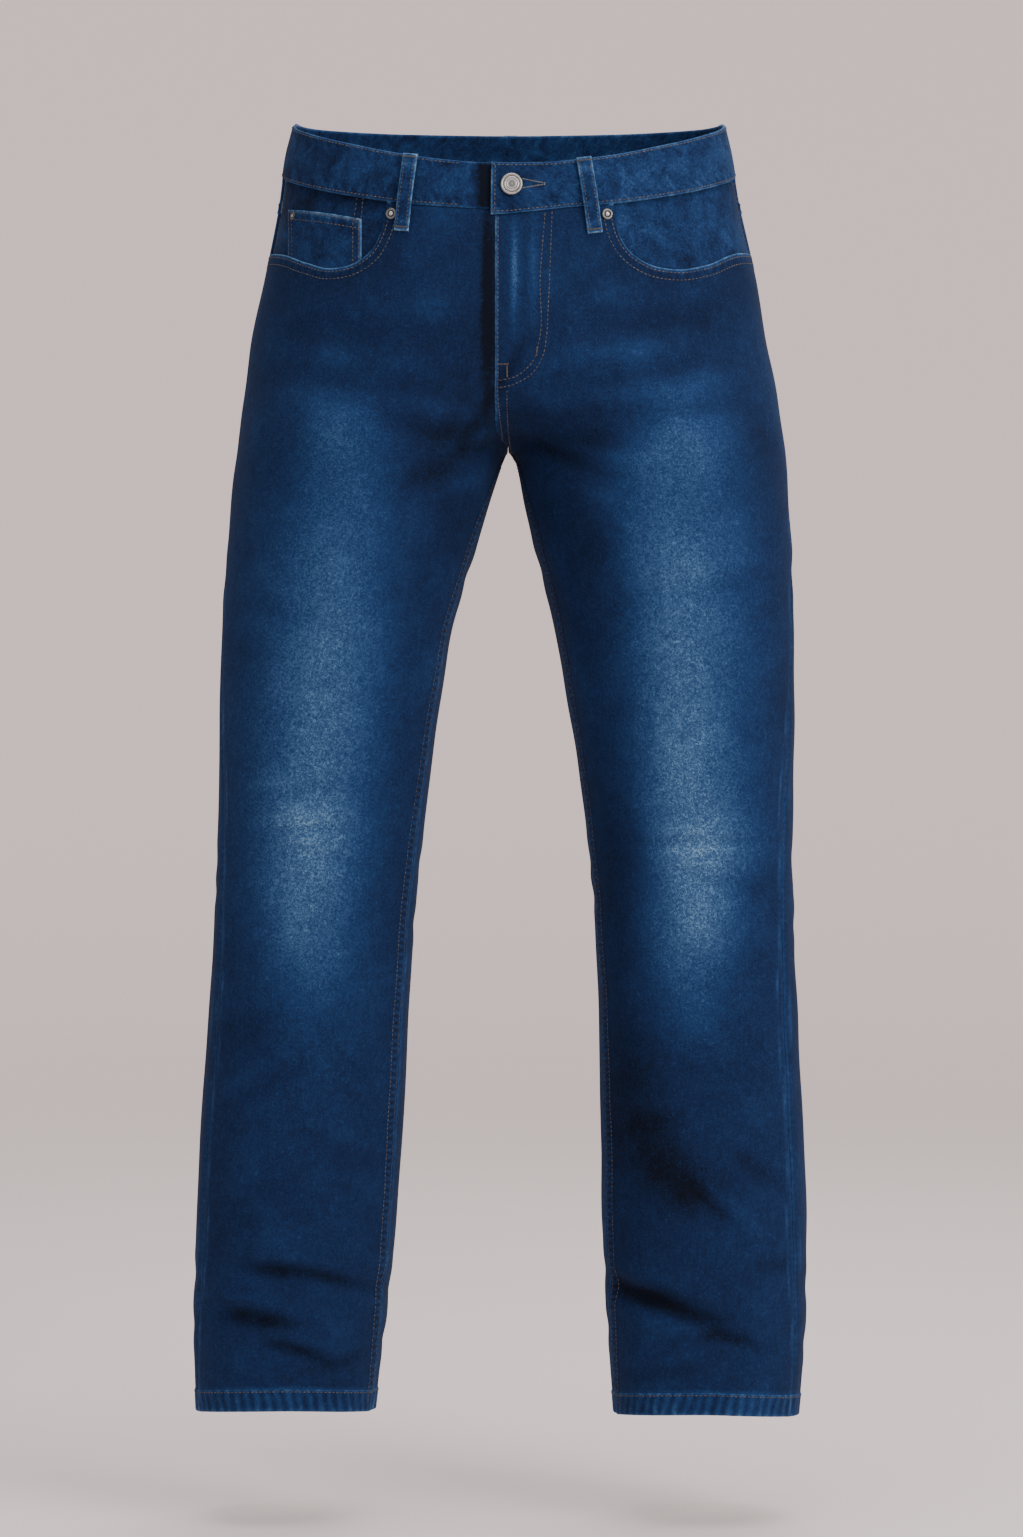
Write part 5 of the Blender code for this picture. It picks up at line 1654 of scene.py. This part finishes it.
@dataclass(frozen=True)
class BackPocket:
    """A plain patch pocket with a pointed foot and two rows of edge stitching."""

    half: Half
    columns: int = 42
    rows: int = 44
    top: float = -88 * MM
    side: float = -202 * MM
    point: float = -224 * MM
    tops: Span = (34 * MM, 160 * MM)
    feet: Span = (42 * MM, 151 * MM)
    foot_width: float = 0.12
    out: float = 1.75 * MM
    cloth: float = 1.2 * MM
    fold: float = 0.9 * MM
    hem: Span = (13.5 * MM, 14.8 * MM)
    proud: float = 0.4 * MM
    slack: float = 0.8 * MM
    edge_rows: Span = (2.0 * MM, 7.8 * MM)
    top_rows: Span = (2.0 * MM, 12.0 * MM)
    tack: float = 4.8 * MM

    def build(self) -> None:
        """Builds, sews and dresses the pocket: level with out, rolled at all edges, a little slack above."""
        half = self.half
        share = half.both_closed(self.columns)
        low = self.side - (self.side - self.point) * (1 - np.abs(2 * share - 1))
        height = mix(low, self.top, half.both_closed(self.rows)[:, None])
        down = np.clip((self.top - height) / (self.top - self.point), 0, 1)
        first, last = (mix(top, foot, down) for top, foot in zip(self.tops, self.feet))
        sheet = Sheet(FORM.facing(Face.BACK, half.side * mix(first, last, share), height))
        under = sheet.down
        edge = np.minimum(sheet.beside(), sheet.up)
        hem = 1 - smoothstep(under, *self.hem)
        sag = self.slack * bell(share - 0.5, 0.3) * np.exp(-under / (30 * MM))
        out = (sheet.relief + self.out - rolled(edge, self.fold) - rolled(under, self.fold)
               + self.proud * hem + sag + self.proud * bell(edge - 13 * MM, 5 * MM))
        wear = 0.85 * np.exp(-np.minimum(edge, under) / (1.5 * MM)) + 0.3 * bell(edge - 9.5 * MM, 2 * MM)
        fade = RELIEF.worn(sheet.points, sheet.normals) * 0.9 + 0.05
        sheet.fill(out, self.cloth, wear, fade, 0.8 * bell(edge - 5 * MM, 3 * MM))
        made = Cloth("back_pocket_" + half.name, sheet, DENIM, REVERSE)
        sewing = Sewing(made)
        for distance in self.edge_rows:
            sides = sheet.line(Edge.FIRST, distance), sheet.line(Edge.LAST, distance)
            foot = sheet.line(Edge.LOW, distance)
            corner = distance / self.foot_width
            inside = (foot[:, 2] < sides[0][:, 2].max()) & (share > corner) & (share < 1 - corner)
            order = np.argsort(np.abs(foot[:, 0]))
            for line in sides:
                limit = np.interp(np.abs(line[:, 0]), np.abs(foot[order, 0]), foot[order, 2])
                sewing.row(line[(line[:, 2] > limit + 1 * MM) & (line[:, 2] < self.top - 1 * MM)])
            sewing.row(foot[inside])
        for distance in self.top_rows:
            sewing.inside(Edge.TOP, distance, 4, -4)
        for side in (Edge.FIRST, Edge.LAST):
            sewing.inside(side, self.tack, -9, -1, TACK)
        made.dress("denim", ["back_" + half.name], sewing)


@dataclass(frozen=True)
class Waistband:
    """One folded strip round the waist, whose left end laps over its right end at the fly."""

    half: Half
    columns: int = 322
    rows: int = 15
    height: float = -42 * MM
    under_end: float = 22 * MM
    over_end: float = -15 * MM
    proud: float = 0.6 * MM
    cloth: float = 2.8 * MM
    under: float = -0.8 * MM
    lap: float = 2.5 * MM
    under_x: Span = (-50 * MM, -20 * MM)
    lap_x: Span = (4 * MM, 34 * MM)
    rim_radius: float = 1.3 * MM
    end_radius: float = 1.0 * MM
    seam_radius: float = 0.9 * MM
    plump: float = 0.35 * MM
    end_columns: tuple[float, ...] = (0, 0.0005, 0.0012, 0.0025)
    edge_rows: tuple[float, ...] = (0, 0.01, 0.028, 0.06)
    seam_row: float = 2.1 * MM
    rim_row: float = 2.2 * MM
    end_row: float = 3.0 * MM
    hole: Span = (0.8 * MM, 24.5 * MM)
    hole_height: float = -41.6 * MM
    hole_width: float = 1.2 * MM
    hole_depth: float = 0.7 * MM
    near: float = 0.1
    first_stitch: int = 26

    def azimuth(self, x: float) -> float:
        """The azimuth of a place on the front of the waistband."""
        return float(azimuth_of(FORM.facing(Face.FRONT, x, self.height)))

    def build(self) -> None:
        """Builds, sews and dresses the waistband.

        The strip stands proud of the form, plump in the middle and rolled at all edges. Its front ends
        are shifted apart so that one laps over the other, and it dips along the buttonhole.
        """
        start, end = self.azimuth(self.under_end), self.azimuth(self.over_end) - 360
        ends = np.array(self.end_columns)
        plain = np.linspace(0, 1, self.columns)[1:-1]
        azimuth = mix(start, end, np.concatenate([ends[:1], plain, 1 - ends[::-1]]))
        index = np.arange(azimuth.size)
        low = FORM.rim(azimuth, Seam.WAIST) - 0.6 * MM
        low = low - self.half.dropped(FORM.torso(azimuth, low)[:, 0]) * (index > azimuth.size * 3 / 4)
        high = FORM.rim(azimuth, Seam.RIM)
        close = np.array(self.edge_rows)
        rises = np.concatenate([close, np.linspace(0.12, 0.88, self.rows - 8), 1 - close[::-1]])
        sheet = Sheet(FORM.torso(azimuth, mix(low, high, rises[:, None])))
        x = sheet.points[..., 0]
        begins = (index < azimuth.size / 4) & (np.abs(x) < self.near)
        ending = (index > azimuth.size * 3 / 4) & (np.abs(x) < self.near)
        shift = (self.under * smoothstep(x, *self.under_x) * begins
                 + self.lap * (1 - smoothstep(x, *self.lap_x)) * ending)
        up, down, side = sheet.up, sheet.down, sheet.beside()
        turned = np.maximum(rolled(down, self.rim_radius), rolled(side, self.end_radius))
        bottom = rolled(up, self.seam_radius)
        plump = self.plump * bell(up - 19 * MM, 12 * MM)
        out = sheet.relief + self.proud + shift - np.maximum(turned, bottom) + plump
        cloth = self.cloth + plump - 2 * turned - bottom
        hole_x = np.clip(x, self.hole[0], self.hole[1]) - x
        hole = bell(np.hypot(hole_x, sheet.points[..., 2] - self.hole_height), self.hole_width) * ending
        out = out - self.hole_depth * hole
        wear = 0.5 * bell(down, 1.3 * MM) + 0.6 * bell(up, 0.9 * MM) + 0.9 * bell(side, 1.3 * MM)
        # Painted shade and light: the buttonhole's slit is darkened as shade, the strip is paler towards the
        # wearer's left where the key light falls, and the under end is darkened beside the lapping end as its
        # shadow.
        fade = (0.08 + 0.05 * bell(up - 18 * MM, 9 * MM) - 1.2 * hole
                + 0.12 * smoothstep(x, 25 * MM, 60 * MM)
                - 0.6 * bell(x + 19 * MM, 6 * MM) * begins)
        pucker = 0.8 * bell(up - 4.5 * MM, 3 * MM) + 0.5 * bell(down - 4.5 * MM, 3 * MM)
        made = Cloth("waistband", sheet.fill(out, cloth, wear, fade, pucker), TRIM, TRIM)
        sewing, eye = Sewing(made), Sewing(made, GREY_THREAD, "buttonhole")
        sewing.inside(Edge.LOW, self.seam_row, self.first_stitch, -1)
        sewing.inside(Edge.TOP, self.rim_row, self.first_stitch, -1)
        sewing.inside(Edge.LAST, self.end_row, 3, -3)
        for way in (-1, 1):
            knots = ((8.5, -41.6 + 3.8 * way), (14, -41.6 + 2.7 * way), (25.2, -41.4 + 0.7 * way))
            eye.drawn(knots, BUTTONHOLE)
        eye.drawn(((26.3, -40.2), (26.1, -42.7)), TACK)
        made.dress("denim", ["yoke_right", "yoke_left", "front_right", "front_left"], sewing, eye)


@dataclass(frozen=True)
class BeltLoop:
    """A folded strip over the waistband, bar-tacked at both ends, that stands off between them."""

    place: str
    bottom_turn: float
    top_turn: float
    width: float = 11.6 * MM
    cloth: float = 1.7 * MM
    sections: int = 46
    fold: float = 0.45
    sewn_at: float = 0.31
    tacked_at: Span = (0.05, 0.955)
    below: float = 22.5 * MM
    above: float = 0.5 * MM
    bow: float = 2.0 * MM
    lifted: float = 1.6 * MM
    crown: float = 0.25 * MM
    edge_radius: float = 0.8 * MM
    half_columns: tuple[float, ...] = (0.17, 0.33, 0.43, 0.48, 0.5)

    def build(self) -> None:
        """Builds, sews and dresses the loop, which clears the waistband as sin(pi * along)^0.8."""
        low = float(FORM.rim(self.bottom_turn, Seam.WAIST)) - self.below
        high = float(FORM.rim(self.top_turn, Seam.RIM)) + self.above
        along = np.unique(np.concatenate([np.linspace(0, 1, self.sections), [0.006, 0.014, 0.986, 0.994]]))
        centre = FORM.torso(mix(self.bottom_turn, self.top_turn, along), mix(low, high, along))
        normals = FORM.normal(centre)
        sideways = unit(np.cross(np.gradient(centre, axis=0), normals))
        columns = np.array([-part for part in self.half_columns[::-1]] + [0, *self.half_columns])
        sheet = Sheet(centre[:, None] + sideways[:, None] * (columns * self.width)[:, None])
        clear = 0.5 * MM + smoothstep(along, 0.22, 0.34) * 0.6 * MM + self.bow * np.sin(np.pi * along) ** 0.8
        folded = 1 + self.fold * (1 - smoothstep(np.minimum(along, 1 - along), 0.09, 0.13))
        lift = self.lifted * (1 - smoothstep(centre[:, 0], *Waistband.lap_x)) * (self.place == "front_left")
        side, end = sheet.beside(), np.minimum(sheet.up, sheet.down)
        thick = (self.cloth * folded)[:, None]
        edge = np.maximum(rolled(side, self.edge_radius), rolled(end, self.edge_radius))
        crown = self.crown * (1 - (2 * columns) ** 2)
        waver = 0.12 * MM * np.sin(along * 37 + len(self.place))[:, None]
        out = (clear + lift)[:, None] + thick - edge + crown + waver + sheet.relief
        wear = (0.9 * bell(side, 1.0 * MM) + 0.9 * bell(end, 1.3 * MM)
                + 0.35 * bell(along - 0.86, 0.05)[:, None] + 0.25 * bell(along - 0.13, 0.03)[:, None])
        sheet.fill(out, thick - edge * 0.9 + crown, wear, 0.10, 0.25)
        made = Cloth("belt_loop_" + self.place, sheet, TRIM, REVERSE)
        sewing = Sewing(made)
        for part in (-self.sewn_at, self.sewn_at):
            sewing.row((centre + sideways * part * self.width)[3:-3], FINE)
        for at in self.tacked_at:
            sewing.row(sheet.points[np.argmin(np.abs(along - at)), 1:-1], TACK)
        made.dress("denim", ["waistband"], sewing)


@dataclass(frozen=True)
class Turned:
    """A turned metal piece that stands on the cloth: the shank button or a rivet."""

    name: str
    profile: tuple[tuple[float, float], ...]
    finish: MetalFinish
    steps: int
    polish: Span
    size: float = 1.0
    rounds: int = 2

    def build(self, x: float, height: float, stands: float) -> None:
        """Turns the rounded profile about an axis that stands on the front.

        The profile's corners are cut twice by quarters (Chaikin), so every ring has a soft edge. The
        metal is polished where the profile is high.

        Args:
            x: where it stands.
            height: where it stands.
            stands: how far its foot is off the form.
        """
        line = np.array(self.profile, float) * MM * self.size
        for _ in range(self.rounds):
            cut = np.stack([line[:-1] * 0.75 + line[1:] * 0.25, line[:-1] * 0.25 + line[1:] * 0.75], axis=1)
            line = np.concatenate([line[:1], cut.reshape(-1, 2)[1:-1], line[-1:]])
        turn = np.arange(self.steps) * 2 * math.pi / self.steps
        place = FORM.facing(Face.FRONT, x, height)
        normal = FORM.normal(place)
        stands = stands + float(RELIEF(place[None], normal[None])[0])
        right = unit(np.cross([0.0, 0.0, 1.0], normal))
        above = np.cross(normal, right)
        ring = right * np.cos(turn)[:, None] + above * np.sin(turn)[:, None]
        points = (place + normal * stands + line[1:-1, 0][:, None, None] * ring[None]
                  + line[1:-1, 1][:, None, None] * normal)
        size = len(points) * self.steps
        index = np.arange(size).reshape(-1, self.steps)
        after = np.roll(index, -1, axis=1)
        sides = np.stack([index[:-1], after[:-1], after[1:], index[1:]], axis=-1).reshape(-1, 4)
        poles = place + normal * (stands + line[[0, -1], 1:])
        caps = np.concatenate([vectors(after[0], index[0], size), vectors(index[-1], after[-1], size + 1)])
        points = np.concatenate([points.reshape(-1, 3), poles])
        piece = mesh_object(self.name, points, sides, [self.finish.material()], 180, caps)
        polished = smoothstep(line[:, 1] / (MM * self.size), *self.polish)
        point_values(piece, "polish", np.append(np.repeat(polished[1:-1], self.steps), polished[[0, -1]]))
        place_piece(piece, self.name)
        LOG.info("%s: %d faces", self.name, len(sides) + len(caps))


@dataclass(frozen=True)
class FlyStrip:
    """A flat strip behind the fly: the zip's tape, or the shield that backs it."""

    name: str
    edges: Span
    heights: Span
    depth: float
    cloth: float
    slot: str
    finish: Denim

    def build(self) -> Cloth:
        """Builds and dresses the strip.

        Returns:
            The cloth, for the zip's teeth.
        """
        x, height = np.linspace(*self.edges, 14), np.linspace(self.heights[1], self.heights[0], 46)
        sheet = Sheet(FORM.facing(Face.FRONT, x, height[:, None]))
        wear = 0.3 * np.exp(-sheet.beside() / (1.5 * MM))
        sheet.fill(sheet.relief - self.depth, self.cloth, wear, 0.0, 0.0)
        made = Cloth(self.name, sheet, self.finish, self.finish)
        made.dress(self.slot, ["front_right"])
        return made


@dataclass(frozen=True)
class ZipTeeth:
    """The closed zip's two rows of teeth, and the finish of its slider."""

    x: float = 4 * MM
    heights: Span = (-188 * MM, -86 * MM)
    pitch: float = 2.0 * MM
    apart: float = 0.8 * MM
    tooth: Place = (3.4 * MM, 1.1 * MM, 0.9 * MM)

    def build(self, tape: Cloth) -> None:
        """Stands a small block on the tape for every tooth, from either side in turn."""
        height = np.arange(self.heights[0], self.heights[1], self.pitch)
        x = self.x + self.apart * np.where(np.arange(height.size) % 2 == 0, -1, 1)
        centre = FORM.facing(Face.FRONT, x, height)
        normals = FORM.normal(centre)
        ground, _ = tape.lay(centre, normals)
        across = unit(np.cross([0.0, 0.0, 1.0], normals))
        along = np.cross(normals, across)
        corners = np.array([(i, j, k) for i in (-0.5, 0.5) for j in (-0.5, 0.5) for k in (0.0, 1.0)])
        spread = corners * np.array(self.tooth)
        points = (ground[:, None] + across[:, None] * spread[:, :1] + along[:, None] * spread[:, 1:2]
                  + normals[:, None] * (spread[:, 2:] - 0.1 * MM) * 0.5)
        one = np.array([(0, 1, 3, 2), (4, 6, 7, 5), (0, 4, 5, 1), (2, 3, 7, 6), (0, 2, 6, 4), (1, 5, 7, 3)])
        faces = (one[None] + np.arange(height.size)[:, None, None] * 8).reshape(-1, 4)
        teeth = mesh_object("zip_teeth", points.reshape(-1, 3), faces, [BRASS.material()], 30)
        place_piece(teeth)
        slider = bpy.data.objects["zip_slider"]
        for place in slider.material_slots:
            place.material = BRASS.material()


# ------------------------------------------------------------------ the stage


@dataclass(frozen=True)
class Stage:
    """A pale seamless floor and wall all round, soft lights and a level camera."""

    camera: Place = (0.0008, -3.5, -0.494)
    lens: float = 102.47
    floor: float = -1.095
    colour: Colour = (0.818, 0.718, 0.705)
    glow: Colour = (0.485, 0.380, 0.360)
    radius: float = 7.2
    bend: float = 1.6
    wall_height: float = 8.0

    def build(self) -> None:
        """Builds the sweep, the lights and the camera."""
        scene = bpy.context.scene
        data = bpy.data.cameras.new("camera")
        data.lens = self.lens
        data.sensor_width = 36
        data.clip_start = 0.05
        camera = bpy.data.objects.new("camera", data)
        camera.location = self.camera
        camera.rotation_euler = (math.radians(90), 0, 0)
        scene.collection.objects.link(camera)
        scene.camera = camera
        self.paper()
        self.light("key", (2.3, -2.4, 0.8), (0.0, 0.0, -0.50), 1.8, 90, (1.0, 0.985, 0.965))
        self.light("fill", (-2.3, -2.4, 0.1), (0.0, 0.0, -0.55), 2.2, 16, (0.93, 0.96, 1.0))
        self.light("top", (0.2, -0.4, 2.3), (0.0, 0.0, -0.4), 2.4, 62, (1.0, 1.0, 1.0))
        self.light("back", (0.4, 2.0, 1.5), (0.0, 0.0, -0.5), 2.2, 30, (1.0, 0.99, 0.97))
        world = bpy.data.worlds.new("studio")
        world.use_nodes = True
        sky = world.node_tree.nodes["Background"]
        sky.inputs["Color"].default_value = (0.93, 0.925, 0.93, 1.0)
        sky.inputs["Strength"].default_value = 0.39
        scene.world = world

    def light(self, name: str, place: Place, aim: Place, size: float, power: float, colour: Colour) -> None:
        """One square softbox.

        Args:
            name: the light's name.
            place: where it stands.
            aim: what it faces.
            size: its side.
            power: its power in watts.
            colour: its colour.
        """
        data = bpy.data.lights.new(name, "AREA")
        data.size = size
        data.energy = power
        data.color = colour
        lamp = bpy.data.objects.new(name, data)
        lamp.location = place
        lamp.visible_camera = False
        lamp.rotation_euler = (Vector(aim) - Vector(place)).to_track_quat("-Z", "Y").to_euler()
        bpy.context.scene.collection.objects.link(lamp)

    def paper(self) -> None:
        """Builds the round floor, and the wall that it curves up into, which only the camera sees.

        Both are turned about the upright axis. The paper glows a little more the further out it lies, so
        that it stays as pale as the floor beside the jeans, and a little less high up.
        """
        turn = np.linspace(0, math.pi / 2, 24)
        foot = self.radius - self.bend
        floor = np.stack([np.linspace(0, foot, 15), np.zeros(15)])
        bend = np.stack([foot + self.bend * np.sin(turn), self.bend * (1 - np.cos(turn))])
        wall = np.append(bend, [[self.radius], [self.wall_height]], axis=1)
        shader = Shader("studio_paper")
        cloud = shader.noise(shader.solid_place(), 1.3, 2.0)
        finish = shader.finish(Base_Color=shader.blend(cloud * 0.10, self.colour, (0.77, 0.70, 0.69)),
                               Emission_Color=shader.blend(shader.stored("glow"), (0.0, 0.0, 0.0), self.glow),
                               Emission_Strength=1.0, Roughness=0.95, Specular_IOR_Level=0.1)
        finish.cycles.emission_sampling = "NONE"
        angle = np.linspace(0, 2 * math.pi, 97)
        for name, (radius, rise) in (("floor", floor), ("wall", wall)):
            out = radius[:, None]
            points = vectors(out * np.cos(angle), out * np.sin(angle), self.floor + rise[:, None])
            piece = mesh_object(name, points.reshape(-1, 3), quads(len(radius), angle.size), [finish])
            glow = 0.31 + 0.69 * smoothstep(radius, 1.0, foot) - 0.11 * smoothstep(rise, 0.3, 2.0)
            point_values(piece, "glow", np.repeat(glow, angle.size))
            if name == "wall":
                piece.visible_diffuse = piece.visible_glossy = piece.visible_shadow = False


LOOPS = (("front_right", -37.8, -36.3), ("front_left", 30.2, 27.5), ("side_right", -99.0, -99.0),
         ("side_left", 99.0, 99.0), ("centre_back", 180.0, 180.0))
BUTTON = ((0, 0), (4.2, 0), (4.2, 1.1), (8.2, 1.1), (8.7, 1.5), (8.75, 2.2), (8.3, 2.8), (7.4, 3.1),
          (6.7, 2.75), (6.0, 2.7), (5.4, 3.1), (4.9, 3.15), (4.5, 2.85), (3.9, 2.85), (3.4, 3.15),
          (2.9, 2.85), (1.2, 2.8), (0, 2.95))
RIVET = ((0, 0), (4.5, 0), (4.55, 0.5), (4.1, 1.0), (3.1, 1.15), (2.3, 0.8), (1.9, 0.8), (1.5, 1.5),
         (0.7, 1.8), (0, 1.85))
RIVETS = (("rivet_scoop_right", -92.5, -63.5, 0.3, 1.0), ("rivet_scoop_left", 74.8, -64.5, 0.3, 1.0),
          ("rivet_coin_pocket", -172.5, -58.5, -1.1, 0.72))
TAPE = Denim("zip_tape", tone=0.05, grain=0.5)
SHIELD = FlyStrip("fly_shield", (-22 * MM, 24 * MM), (-67 * MM, -200 * MM), 4.4 * MM, 1.2 * MM,
                  "denim_facing", FACING)
ZIP = FlyStrip("zip", (-13 * MM, 17 * MM), (-68 * MM, -192 * MM), 2.9 * MM, 0.9 * MM, "zip_tape", TAPE)


def main() -> None:
    """Builds the stage and dresses the jeans, one sub-assembly after another."""
    logging.basicConfig(level=logging.INFO, format="%(message)s")
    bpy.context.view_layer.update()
    Stage().build()
    for side in Side:
        half = Half(side)
        for face in Face:
            Panel(half, face).build()
        Yoke(half).build()
        PocketFacing(half).build()
        BackPocket(half).build()
    Waistband(half).build()
    for loop in LOOPS:
        BeltLoop(*loop).build()
    Turned("button", BUTTON, PEWTER, 72, (2.6, 3.1)).build(0.8 * MM, -42.5 * MM, 3.4 * MM)
    for name, x, height, stands, scale in RIVETS:
        Turned(name, RIVET, DARK_PEWTER, 40, (0.85, 1.6), scale).build(x * MM, height * MM, stands * MM)
    SHIELD.build()
    ZipTeeth().build(ZIP.build())


if __name__ == "__main__":
    main()
